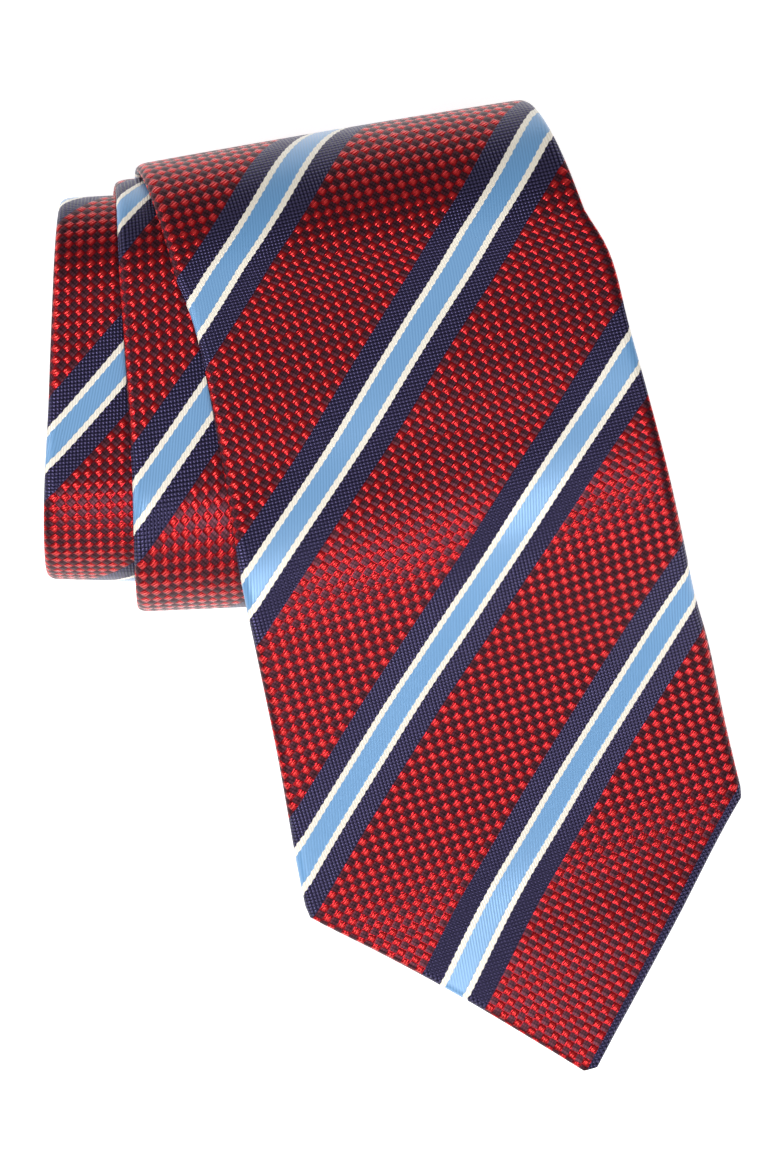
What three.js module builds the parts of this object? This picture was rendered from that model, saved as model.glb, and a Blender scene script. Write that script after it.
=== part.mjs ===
// A silk necktie rolled up for display, in millimetres, +Z up.
//
// The tie is one long flat sleeve. Its wide end lies free: it comes off the top of the
// roll, slopes down and rests its point on the table. Behind it the sleeve winds into a
// flattened roll, front face outwards, and each inner turn stands further out to the left.
//
// Every piece is laid on one ribbon. A place on the ribbon is (along, across, depth):
// along is the distance from the wide point, across is the distance to the right of the
// middle line, and depth is the distance below the front face.

import * as THREE from 'three';

// ---- The tie ----
const TIE_LENGTH = 1440;
const BLADE_WIDTH = 89;
const NECK_WIDTH = 35;
const TAIL_WIDTH = 42;
const NECK_START = 950;
const NECK_END = 1080;
const POINT_WIDTH = 3;
const BLADE_POINT = 46;
const TAIL_POINT = 21;

// ---- Thicknesses, from the front face inwards ----
const SILK = 0.4;
const CLEARANCE = 0.3;
const CANVAS = 0.8;
const LINING = 0.3;
const SLEEVE = 2 * SILK + CANVAS + 2 * CLEARANCE;
const LINED_SLEEVE = SLEEVE + LINING + CLEARANCE;
const EDGE_ROUND = 0.35;

// ---- Sewing ----
const HEM = 17;
const SEAM_HALF_GAP = 0.7;
const BLADE_TACK_AT = 118;
const TAIL_TACK_FROM_POINT = 60;
const WIDE_PIECING_AT = 730;
const TAIL_PIECING_AT = 1075;
const CANVAS_JOINT_AT = 900;
const CANVAS_INSET = 0.35;
const THREAD = 0.4;
const TACK_LENGTH = 9;
const TACK_WIDTH = 1.6;
const TIPPING_OVERLAP = 9;
const TIPPING_SHORTFALL = 12;

// ---- Keeper loop, label and care tag, on the back of the wide end ----
const LOOP_AT = 136;
const LOOP_WIDTH = 11;
const LOOP_HALF_SPAN = 21;
const LABEL_AT = 150;
const LABEL_HEIGHT = 17;
const LABEL_HALF_SPAN = 24;
const LABEL_THICKNESS = 0.3;
const STITCH_LENGTH = 2.2;
const CARE_TAG_AT = 78;
const CARE_TAG_HEIGHT = 13;
const CARE_TAG_HALF_SPAN = 6;

// ---- The roll ----
const TOP_APEX = 81.3;
const BOTTOM_APEX = -6.1;
const INNER_PITCH = SLEEVE + 0.35;
const OUTER_PITCHES = [SLEEVE + 1.5, SLEEVE + 1.5];
const TOP_INSETS = [SLEEVE - 0.15, SLEEVE - 0.15];
const BOTTOM_INSETS = [SLEEVE + 5];
const RULING_PIVOT_X = -66;
const CORE_MARGIN = 6;
const HEIGHT_STEP = 0.1;
const SMALLEST_FOLD = 1.7;
const FOLD_STEPS = 10;
const SMALL_FOLD_STEPS = 8;
const SMALL_FOLD_RADIUS = 9;
const FREE_STEP = 7;
const LEAST_STEP = 0.8;
const HINGE_GAP = 0.3;
const FREE_LENGTH_PLANNED = 187;

// Middle line of the free end from the point up to the crest of the roll, as x, y and the
// share of the climb from the table to the crest.
const FREE_LINE = [
  [40.7, -98.2, 0], [34.2, -76, 0.048], [27.2, -53.7, 0.14], [20.9, -22, 0.52],
  [14.7, 6.6, 0.93], [8.6, 32, 0.995], [2.5, 55.8, 1],
];

// Lean of the ruling lines in degrees along the free end, as share of its length.
const FREE_LEAN = [[0, 15.5], [0.24, 15.3], [0.42, 13.8], [0.6, 13], [0.8, 11.5], [1, 9.5]];
// Sideways tilt in degrees along the free end: the right side hangs lower.
const FREE_TILT = [[0, 2], [0.12, 4.5], [0.25, 7.5], [0.42, 9], [0.58, 5], [0.75, 1], [1, 0]];

// Lean and sideways place of the ruling lines in the roll, by count of half turns. A fold's
// crest is a quarter past each whole number.
const ROLL_LEAN = [
  [0, 9.5], [0.25, 9.5], [0.75, 6], [1.25, 2.5], [1.75, 6], [2.25, 7], [2.75, 3],
  [3.25, -1.5], [3.75, 2], [4.25, 3], [4.75, 2], [5.25, 0.5], [6.25, 1.5], [8, 0], [40, 0],
];
const ROLL_DRIFT = [
  [0, -2.3], [0.25, -12], [0.75, -14.8], [1.25, -14.5], [1.75, -17.6], [2.25, -22.5],
  [2.75, -31], [3.25, -38.5], [3.75, -38.8], [4.25, -38.6], [5, -39.8], [6, -40], [40, -40],
];

const rad = THREE.MathUtils.degToRad;

/** Smooth value through [place, value] stations: a cubic with sloped joins. */
function through(stations, place) {
  const last = stations.length - 1;
  if (place <= stations[0][0]) return stations[0][1];
  if (place >= stations[last][0]) return stations[last][1];
  let i = 0;
  while (stations[i + 1][0] < place) i += 1;
  const slope = (a, b) => (stations[b][1] - stations[a][1]) / (stations[b][0] - stations[a][0]);
  const slopeStart = i === 0 ? slope(0, 1) : slope(i - 1, i + 1);
  const slopeEnd = i + 1 === last ? slope(last - 1, last) : slope(i, i + 2);
  const span = stations[i + 1][0] - stations[i][0];
  const t = (place - stations[i][0]) / span;
  const rise = t * t * (3 - 2 * t);
  return stations[i][1] * (1 - rise) + stations[i + 1][1] * rise
    + span * slopeStart * t * (1 - t) * (1 - t) - span * slopeEnd * t * t * (1 - t);
}

// ---- The roll's path: folds joined by straights, wound inwards ----
/** How far a turn stands inside the outermost one, with looser steps at the outside. */
function inset(turn, looseSteps) {
  let total = 0;
  for (let i = 0; i < turn; i += 1) total += looseSteps[i] ?? INNER_PITCH;
  return total;
}

/** One fold: which end of the roll it is at, its centre and its radius. */
function makeFold(halfTurn, rollHeight) {
  const atTop = halfTurn % 2 === 0;
  const turn = Math.floor(halfTurn / 2);
  const high = rollHeight - SLEEVE / 2 - inset(atTop ? turn : turn + 1, OUTER_PITCHES);
  const low = SLEEVE / 2 + inset(turn, OUTER_PITCHES);
  const radius = (high - low) / 2;
  const apex = atTop
    ? TOP_APEX - SLEEVE / 2 - inset(turn, TOP_INSETS)
    : BOTTOM_APEX + SLEEVE / 2 + inset(turn, BOTTOM_INSETS);
  return { atTop, radius, y: atTop ? apex - radius : apex + radius, z: (high + low) / 2 };
}

function makeFolds(rollHeight) {
  const made = [];
  let fold = makeFold(0, rollHeight);
  while (fold.radius > SMALLEST_FOLD) {
    made.push(fold);
    fold = makeFold(made.length, rollHeight);
  }
  return made;
}

/** Length of ribbon that a roll holds, up to the far end of its innermost straight. */
function rollCapacity(made) {
  const last = made[made.length - 1];
  const arcs = made.reduce((sum, fold) => sum + Math.PI * fold.radius, 0);
  const straights = made.slice(1).reduce((sum, fold, i) => sum + Math.abs(fold.y - made[i].y), 0);
  const partner = made[made.length - 2];
  return arcs + straights + Math.abs(last.y - partner.y) - CORE_MARGIN;
}

/** Lowest roll that takes up what is left of the tie behind its free end. */
function fitRoll(rolledLength) {
  let height = 2 * SLEEVE + 2 * inset(2, OUTER_PITCHES);
  while (rollCapacity(makeFolds(height)) < rolledLength) height += HEIGHT_STEP;
  return height;
}

const ROLL_HEIGHT = fitRoll(TIE_LENGTH - FREE_LENGTH_PLANNED);
const folds = makeFolds(ROLL_HEIGHT);

/** Place on the roll after a distance past the crest line. */
function rollAt(distance) {
  let rest = distance;
  for (let i = 0; i < folds.length; i += 1) {
    const fold = folds[i];
    const arc = Math.PI * fold.radius;
    const next = folds[i + 1];
    const straight = next ? Math.abs(fold.y - next.y) : Infinity;
    if (rest <= arc) {
      const turned = rest / fold.radius;
      const side = fold.atTop ? 1 : -1;
      const normalY = side * Math.sin(turned);
      const normalZ = side * Math.cos(turned);
      return {
        y: fold.y + fold.radius * normalY,
        z: fold.z + fold.radius * normalZ,
        normalY,
        normalZ,
        halfTurns: i + 0.5 * (rest / arc),
      };
    }
    rest -= arc;
    if (rest <= straight) {
      const side = fold.atTop ? -1 : 1;
      return {
        y: fold.y + side * rest,
        z: fold.z + side * fold.radius,
        normalY: 0,
        normalZ: side,
        halfTurns: i + 0.5 + 0.5 * Math.min(1, rest / straight),
      };
    }
    rest -= straight;
  }
  throw new Error('the roll has no place that far along');
}

/** Middle point, cross direction and outward normal of the rolled ribbon. */
function rollFrame(distance) {
  const place = rollAt(distance);
  const lean = rad(through(ROLL_LEAN, place.halfTurns));
  const x = through(ROLL_DRIFT, place.halfTurns);
  return {
    middle: new THREE.Vector3(x, place.y + (x - RULING_PIVOT_X) * Math.tan(lean), place.z),
    across: new THREE.Vector3(Math.cos(lean), Math.sin(lean), 0),
    normal: new THREE.Vector3(
      -Math.sin(lean) * place.normalY,
      Math.cos(lean) * place.normalY,
      place.normalZ,
    ),
  };
}

// ---- The free end ----
const crest = rollFrame(0);
const tableLevel = LINED_SLEEVE - SLEEVE / 2 + 0.2;
const freePoint = ([x, y, climb]) => (
  new THREE.Vector3(x, y, tableLevel + (crest.middle.z - tableLevel) * climb)
);
const freeLine = new THREE.CatmullRomCurve3(
  [...FREE_LINE.map(freePoint), crest.middle],
  false,
  'catmullrom',
  0.5,
);
freeLine.arcLengthDivisions = 800;
const FREE_LENGTH = freeLine.getLength();

/** Middle point, cross direction and outward normal of the free end. */
function freeFrame(along) {
  const share = Math.min(1, Math.max(0, along / FREE_LENGTH));
  const lean = rad(through(FREE_LEAN, share));
  const tilt = rad(through(FREE_TILT, share));
  const middle = freeLine.getPointAt(share);
  const across = new THREE.Vector3(
    Math.cos(lean) * Math.cos(tilt),
    Math.sin(lean) * Math.cos(tilt),
    -Math.sin(tilt),
  );
  const forward = freeLine.getTangentAt(share);
  return { middle, across, normal: new THREE.Vector3().crossVectors(across, forward).normalize() };
}

const frameAt = (along) => (
  along < FREE_LENGTH ? freeFrame(along) : rollFrame(along - FREE_LENGTH)
);

// ---- The flat pattern ----
const TAIL_TACK_AT = TIE_LENGTH - TAIL_TACK_FROM_POINT;

/** Width of the tie at a distance from the wide point. */
function widthAt(along) {
  const bladeShare = Math.max(0, (NECK_START - along) / (NECK_START - BLADE_POINT));
  const tailShare = Math.max(0, (along - NECK_END) / (TIE_LENGTH - TAIL_POINT - NECK_END));
  const taper = Math.min(1, bladeShare) * (BLADE_WIDTH - NECK_WIDTH)
    + Math.min(1, tailShare) * (TAIL_WIDTH - NECK_WIDTH);
  const pointed = (fromPoint, endWidth, pointLength) => (
    POINT_WIDTH + ((endWidth - POINT_WIDTH) * fromPoint) / pointLength
  );
  return Math.min(
    NECK_WIDTH + taper,
    pointed(along, BLADE_WIDTH, BLADE_POINT),
    pointed(TIE_LENGTH - along, TAIL_WIDTH, TAIL_POINT),
  );
}

/** Half the gap between the two back flaps: open over each lining, closed at the seam. */
function flapGap(along) {
  const openEnd = (fromPoint, endWidth, corner, tackAt) => {
    if (fromPoint < corner) return widthAt(along) / 2 - HEM;
    return (endWidth / 2 - HEM) * (1 - (fromPoint - corner) / (tackAt - corner));
  };
  const atBlade = openEnd(along, BLADE_WIDTH, BLADE_POINT, BLADE_TACK_AT);
  const atTail = openEnd(TIE_LENGTH - along, TAIL_WIDTH, TAIL_POINT, TAIL_TACK_FROM_POINT);
  const widest = widthAt(along) / 2 - SILK - CLEARANCE;
  return Math.min(widest, Math.max(SEAM_HALF_GAP, atBlade, atTail));
}

/** Thickness of the sleeve: more where a lining lies in it. */
function thicknessAt(along) {
  const fadeIn = (place) => THREE.MathUtils.smoothstep(place, 0, 14);
  const pastBladeLining = fadeIn(along - BLADE_TACK_AT);
  const pastTailLining = fadeIn(TAIL_TACK_AT - along);
  return SLEEVE + (LINED_SLEEVE - SLEEVE) * (1 - Math.min(pastBladeLining, pastTailLining));
}

// ---- Cross-sections, as [across, depth] points ----
/** Points from one side towards the other at one depth, without the last. */
function row(from, to, depth, columns) {
  return Array.from({ length: columns }, (_, i) => [from + ((to - from) * i) / columns, depth]);
}

const block = (left, right, shallow, deep, columns = 1) => [
  ...row(left, right, deep, columns), [right, deep],
  ...row(right, left, shallow, columns), [left, shallow],
];

/** The silk: front, two rounded edges, and two flaps that meet at the back seam. */
function sleeveSection(along, columns) {
  const half = widthAt(along) / 2;
  const back = thicknessAt(along);
  const gap = flapGap(along);
  const inner = half - SILK;
  const flat = half - EDGE_ROUND;
  return [
    [gap, back], [flat, back], [half, back - EDGE_ROUND], [half, EDGE_ROUND],
    ...row(flat, -flat, 0, columns),
    [-flat, 0], [-half, EDGE_ROUND], [-half, back - EDGE_ROUND], [-flat, back], [-gap, back],
    [-gap, back - SILK], [-inner, back - SILK],
    ...row(-inner, inner, SILK, columns),
    [inner, SILK], [inner, back - SILK], [gap, back - SILK],
  ];
}

function canvasSection(along, columns) {
  const half = widthAt(along) / 2 - SILK - CANVAS_INSET;
  return block(-half, half, SILK + CLEARANCE, SILK + CLEARANCE + CANVAS, columns);
}

function liningSection(along, columns) {
  const widest = widthAt(along) / 2 - SILK - CANVAS_INSET;
  const half = Math.min(widest, flapGap(along) + TIPPING_OVERLAP);
  const top = thicknessAt(along) - SILK - CLEARANCE - LINING;
  return block(-half, half, top, top + LINING, columns);
}

function seamThreadSection(along) {
  const back = thicknessAt(along);
  const half = SEAM_HALF_GAP - CLEARANCE;
  return block(-half, half, back - THREAD, back);
}

/** A thread lying beside the edge of one back flap, on the lining. */
function hemThreadSection(along, side) {
  const back = thicknessAt(along);
  const edge = flapGap(along) - CLEARANCE;
  const near = side > 0 ? edge - THREAD : -edge;
  return block(near, near + THREAD, back - THREAD, back);
}

/** A piece lying on the back of the sleeve. */
function onBack(left, right, thickness, lift = CLEARANCE) {
  return (along) => {
    const back = thicknessAt(along) + lift;
    return block(left, right, back, back + thickness);
  };
}

// ---- Solids ----
const tie = new THREE.Group();

function ribbonPoint(along, across, depth) {
  const frame = frameAt(along);
  return frame.middle.clone()
    .addScaledVector(frame.across, across)
    .addScaledVector(frame.normal, SLEEVE / 2 - depth);
}

/** One closed solid: a cross-section carried along the ribbon and capped at both ends. */
function addStrip(name, places, sectionAt, material, columns = 1) {
  const positions = [];
  const indices = [];
  const sections = places.map((along) => sectionAt(along, columns));
  const count = sections[0].length;
  places.forEach((along, ring) => {
    for (const [across, depth] of sections[ring]) {
      positions.push(...ribbonPoint(along, across, depth).toArray());
    }
  });
  for (let ring = 0; ring + 1 < places.length; ring += 1) {
    for (let i = 0; i < count; i += 1) {
      const next = (i + 1) % count;
      const a = ring * count + i;
      const b = ring * count + next;
      const goesRight = sections[ring][next][0] > sections[ring][i][0];
      if (goesRight) indices.push(a, a + count, b + count, a, b + count, b);
      else indices.push(a, a + count, b, b, a + count, b + count);
    }
  }
  const capAt = (ring) => {
    const outline = sections[ring].map(([x, depth]) => new THREE.Vector2(x, -depth));
    return THREE.ShapeUtils.triangulateShape(outline, []);
  };
  for (const [a, b, c] of capAt(0)) indices.push(a, b, c);
  const end = (places.length - 1) * count;
  for (const [a, b, c] of capAt(places.length - 1)) indices.push(end + a, end + c, end + b);
  const geometry = new THREE.BufferGeometry();
  geometry.setAttribute('position', new THREE.Float32BufferAttribute(positions, 3));
  geometry.setIndex(indices);
  geometry.computeVertexNormals();
  const mesh = new THREE.Mesh(geometry, new THREE.MeshStandardMaterial(material));
  mesh.name = name;
  tie.add(mesh);
}

/** Places along the ribbon where its shape changes, each fold and each step of the free end. */
function shapePlaces() {
  const places = [];
  const freeSteps = Math.ceil(FREE_LENGTH / FREE_STEP);
  for (let i = 0; i < freeSteps; i += 1) places.push((FREE_LENGTH * i) / freeSteps);
  let along = FREE_LENGTH;
  for (let i = 0; i < folds.length; i += 1) {
    const arc = Math.PI * folds[i].radius;
    const steps = folds[i].radius > SMALL_FOLD_RADIUS ? FOLD_STEPS : SMALL_FOLD_STEPS;
    for (let step = 0; step <= steps; step += 1) places.push(along + (arc * step) / steps);
    along += arc;
    if (folds[i + 1]) {
      const straight = Math.abs(folds[i].y - folds[i + 1].y);
      places.push(along + straight / 2);
      along += straight;
    }
  }
  return places;
}

const SHAPE_PLACES = shapePlaces();
const PATTERN_PLACES = [
  HEM, BLADE_POINT, BLADE_TACK_AT, NECK_START, NECK_END, TAIL_TACK_AT, TIE_LENGTH - TAIL_POINT,
];

const ALL_PLACES = [...SHAPE_PLACES, ...PATTERN_PLACES]
  .sort((a, b) => a - b)
  .filter((place, i, list) => i === 0 || place - list[i - 1] >= LEAST_STEP);

/** The places that a strip between two ends passes through, the same for nested pieces. */
function placesBetween(start, end) {
  const inside = ALL_PLACES
    .filter((place) => place > start + LEAST_STEP && place < end - LEAST_STEP);
  return [start, ...inside, end];
}

const addRun = (name, start, end, sectionAt, material) => (
  addStrip(name, placesBetween(start, end), sectionAt, material, end > FREE_LENGTH ? 1 : 4)
);

/** A short raised piece of thread with rounded ends, lying across the back seam. */
function addTack(name, at, across, length, width, lift = CLEARANCE) {
  const rise = [[0, 0.35], [0.25, 1], [0.75, 1], [1, 0.35]];
  const places = rise.map(([share]) => at + width * share);
  const section = (along) => {
    const share = (along - at) / width;
    const fullness = through(rise, share);
    const back = thicknessAt(at) + lift;
    const half = (length / 2) * (0.8 + 0.2 * fullness);
    return block(across - half, across + half, back, back + THREAD * fullness);
  };
  addStrip(name, places, section, { color: 0x8e1420, roughness: 0.6, metalness: 0 });
}

const redSilk = { color: 0xb3202c, roughness: 0.42, metalness: 0 };
const blueSilk = { color: 0x2c2550, roughness: 0.45, metalness: 0 };
const canvasWool = { color: 0xe6dfce, roughness: 0.9, metalness: 0 };
const liningSatin = { color: 0x27224a, roughness: 0.35, metalness: 0 };
const sewingThread = { color: 0x8e1420, roughness: 0.6, metalness: 0 };
const labelWeave = { color: 0xf0ede4, roughness: 0.55, metalness: 0 };

const freeEnd = FREE_LENGTH - HINGE_GAP / 2;
const rollStart = FREE_LENGTH + HINGE_GAP / 2;
const jointGap = CLEARANCE + THREAD / 2;

// The wide end: sleeve, canvas, lining and the pieces sewn on its back.
addRun('wide_blade_sleeve', 0, freeEnd, sleeveSection, redSilk);
addRun('wide_blade_canvas', 2.5, freeEnd, canvasSection, canvasWool);
addRun('wide_blade_lining', 4.5, BLADE_TACK_AT - TIPPING_SHORTFALL, liningSection, liningSatin);
const hemStart = HEM + 2;
const hemEnd = BLADE_TACK_AT - TIPPING_SHORTFALL / 2;
for (const [side, label] of [[-1, 'left'], [1, 'right']]) {
  const section = (along) => hemThreadSection(along, side);
  addRun(`blade_hem_thread_${label}`, hemStart, hemEnd, section, sewingThread);
}
addTack('blade_bar_tack', BLADE_TACK_AT, 0, TACK_LENGTH, TACK_WIDTH);
const freeSeamStart = BLADE_TACK_AT + TACK_WIDTH + 1;
addRun('blade_seam_thread', freeSeamStart, freeEnd, seamThreadSection, sewingThread);

const loopThickness = 2 * SILK - 0.1;
const loopEnd = LOOP_AT + LOOP_WIDTH;
const loopSection = onBack(-LOOP_HALF_SPAN, LOOP_HALF_SPAN, loopThickness - THREAD / 2);
addRun('keeper_loop', LOOP_AT, loopEnd, loopSection, redSilk);
const labelSection = onBack(-LABEL_HALF_SPAN, LABEL_HALF_SPAN, LABEL_THICKNESS);
addRun('blank_label', LABEL_AT, LABEL_AT + LABEL_HEIGHT, labelSection, labelWeave);
const tagSection = onBack(-CARE_TAG_HALF_SPAN, CARE_TAG_HALF_SPAN, LABEL_THICKNESS);
const tagEnd = CARE_TAG_AT + CARE_TAG_HEIGHT;
addRun('care_tag', CARE_TAG_AT, tagEnd, tagSection, labelWeave);

const loopTackAcross = LOOP_HALF_SPAN + CLEARANCE + STITCH_LENGTH / 2;
const labelTackAcross = LABEL_HALF_SPAN + CLEARANCE + STITCH_LENGTH / 2;
for (const [side, label] of [[-1, 'left'], [1, 'right']]) {
  const middleOfLoop = LOOP_AT + LOOP_WIDTH / 2;
  addTack(`loop_tack_${label}`, middleOfLoop, side * loopTackAcross, STITCH_LENGTH, TACK_WIDTH);
  for (const [share, level] of [[0.1, 'lower'], [0.8, 'upper']]) {
    const name = `label_stitch_${level}_${label}`;
    const at = LABEL_AT + LABEL_HEIGHT * share;
    addTack(name, at, side * labelTackAcross, STITCH_LENGTH, TACK_WIDTH);
  }
}
const tagStitchAt = CARE_TAG_AT + CARE_TAG_HEIGHT + CLEARANCE;
addTack('care_tag_stitch', tagStitchAt, 0, 2 * CARE_TAG_HALF_SPAN, TACK_WIDTH);

// The roll: three lengths of silk joined by two piecing seams, canvas, lining and threads.
const wideJoin = WIDE_PIECING_AT;
const tailJoin = TAIL_PIECING_AT;
addRun('wide_panel_rolled', rollStart, wideJoin - jointGap, sleeveSection, redSilk);
addRun('neck_panel', wideJoin + jointGap, tailJoin - jointGap, sleeveSection, redSilk);
addRun('tail_panel', tailJoin + jointGap, TIE_LENGTH, sleeveSection, redSilk);
for (const [at, label] of [[wideJoin, 'wide'], [tailJoin, 'tail']]) {
  const name = `${label}_piecing_seam`;
  addStrip(name, [at - THREAD / 2, at + THREAD / 2], sleeveSection, blueSilk);
}
const canvasJoin = CANVAS_JOINT_AT;
const canvasStitch = () => [canvasJoin - THREAD / 2, canvasJoin + THREAD / 2];
addRun('wide_canvas_rolled', rollStart, canvasJoin - jointGap, canvasSection, canvasWool);
addStrip('canvas_joint_stitch', canvasStitch(), canvasSection, sewingThread);
addRun('tail_canvas', canvasJoin + jointGap, TIE_LENGTH - 2.5, canvasSection, canvasWool);
const tailLiningStart = TAIL_TACK_AT + TIPPING_SHORTFALL;
addRun('tail_lining', tailLiningStart, TIE_LENGTH - 4.5, liningSection, liningSatin);
addTack('tail_bar_tack', TAIL_TACK_AT - TACK_WIDTH, 0, TACK_LENGTH, TACK_WIDTH);
for (const [start, end, name] of [
  [rollStart, wideJoin - jointGap, 'wide_panel_seam_thread'],
  [wideJoin + jointGap, tailJoin - jointGap, 'neck_seam_thread'],
  [tailJoin + jointGap, TAIL_TACK_AT - TACK_WIDTH - 1, 'tail_seam_thread'],
]) {
  addRun(name, start, end, seamThreadSection, sewingThread);
}

// ---- The row frame: on the table, with the origin under the middle of the whole tie ----
const bounds = new THREE.Box3().setFromObject(tie);
const centre = bounds.getCenter(new THREE.Vector3());
tie.position.set(-centre.x, -centre.y, -bounds.min.z);

const assembly = new THREE.Group();
assembly.add(tie);

export default assembly;
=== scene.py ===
"""A striped silk necktie rolled up for display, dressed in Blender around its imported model.

The tie is one long flat sleeve of silk. Its wide end lies free: it comes off the top of the
roll, slopes down and rests its point on the table. Behind it the sleeve winds into a flattened
roll, front face outwards, and each inner turn stands further out to the left.

Every cloth is laid on one ribbon. A place on the ribbon is (along, across, depth): along is the
distance from the wide point, across is the distance to the right of the middle line, and depth
is the distance below the front face. Sizes are in millimetres, and the meshes are in metres.
"""

from __future__ import annotations

import logging
import math
from bisect import bisect_right
from collections.abc import Callable, Iterable, Sequence
from dataclasses import dataclass, field
from enum import Enum
from functools import partial

import bmesh
import bpy
from mathutils import Matrix, Vector

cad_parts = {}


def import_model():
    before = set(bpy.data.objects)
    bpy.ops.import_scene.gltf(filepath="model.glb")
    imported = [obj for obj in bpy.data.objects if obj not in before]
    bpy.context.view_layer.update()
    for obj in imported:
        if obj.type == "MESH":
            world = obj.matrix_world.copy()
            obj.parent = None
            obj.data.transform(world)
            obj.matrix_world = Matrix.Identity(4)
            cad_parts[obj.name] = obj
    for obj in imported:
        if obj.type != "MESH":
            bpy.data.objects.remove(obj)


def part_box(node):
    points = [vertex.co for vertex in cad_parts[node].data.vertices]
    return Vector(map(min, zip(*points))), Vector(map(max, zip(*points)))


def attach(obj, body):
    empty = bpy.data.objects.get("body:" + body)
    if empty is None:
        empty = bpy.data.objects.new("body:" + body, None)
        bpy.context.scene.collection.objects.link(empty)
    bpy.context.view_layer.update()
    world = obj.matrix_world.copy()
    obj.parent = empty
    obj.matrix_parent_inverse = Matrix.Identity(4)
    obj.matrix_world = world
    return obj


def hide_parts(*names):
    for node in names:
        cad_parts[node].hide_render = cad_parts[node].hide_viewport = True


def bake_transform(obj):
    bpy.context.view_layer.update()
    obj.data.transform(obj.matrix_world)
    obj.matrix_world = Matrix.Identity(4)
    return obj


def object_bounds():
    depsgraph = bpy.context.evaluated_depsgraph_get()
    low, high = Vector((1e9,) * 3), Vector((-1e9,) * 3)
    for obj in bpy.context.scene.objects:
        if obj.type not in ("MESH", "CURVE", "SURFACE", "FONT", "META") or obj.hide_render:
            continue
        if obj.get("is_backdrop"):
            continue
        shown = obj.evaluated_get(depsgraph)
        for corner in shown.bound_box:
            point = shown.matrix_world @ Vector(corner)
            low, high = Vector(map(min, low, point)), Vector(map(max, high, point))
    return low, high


MM = 0.001
WELD = 0.0001
log = logging.getLogger("necktie")

Stations = Sequence[tuple[float, float]]
Route = Sequence[tuple[float, Vector]]
Points = list[tuple[float, float, float]]
Section = Callable[[float], Points]
FlatPlace = Callable[[float, float, float], tuple[float, float]]


# ---- Numbers ----------------------------------------------------------------------------------


def through(stations: Stations | Route, place: float) -> float | Vector:
    """Smooth value through (place, value) stations: a cubic with sloped joins.

    Args:
        stations: places in rising order, each with its value, a number or a vector.
        place: where the value is wanted; past either end it stays at the end value.

    Returns:
        The value at that place.
    """
    last = len(stations) - 1
    if place <= stations[0][0]:
        return stations[0][1]
    if place >= stations[last][0]:
        return stations[last][1]
    i = 0
    while stations[i + 1][0] < place:
        i += 1

    def slope(a: int, b: int) -> float:
        """Slope of the chord between two stations."""
        return (stations[b][1] - stations[a][1]) / (stations[b][0] - stations[a][0])

    slope_start = slope(0, 1) if i == 0 else slope(i - 1, i + 1)
    slope_end = slope(last - 1, last) if i + 1 == last else slope(i, i + 2)
    span = stations[i + 1][0] - stations[i][0]
    t = (place - stations[i][0]) / span
    rise = t * t * (3 - 2 * t)
    flat = stations[i][1] * (1 - rise) + stations[i + 1][1] * rise
    return flat + span * slope_start * t * (1 - t) ** 2 - span * slope_end * t * t * (1 - t)


def smoothstep(value: float, start: float, end: float) -> float:
    """Smooth rise from 0 at start to 1 at end."""
    t = min(1.0, max(0.0, (value - start) / (end - start)))
    return t * t * (3 - 2 * t)


def steps(start: float, end: float, longest: float) -> list[float]:
    """Even places from start to end, at most that far apart."""
    count = max(1, math.ceil((end - start) / longest))
    return [start + (end - start) * i / count for i in range(count + 1)]


# ---- The tie as it is cut and sewn ------------------------------------------------------------


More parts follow.
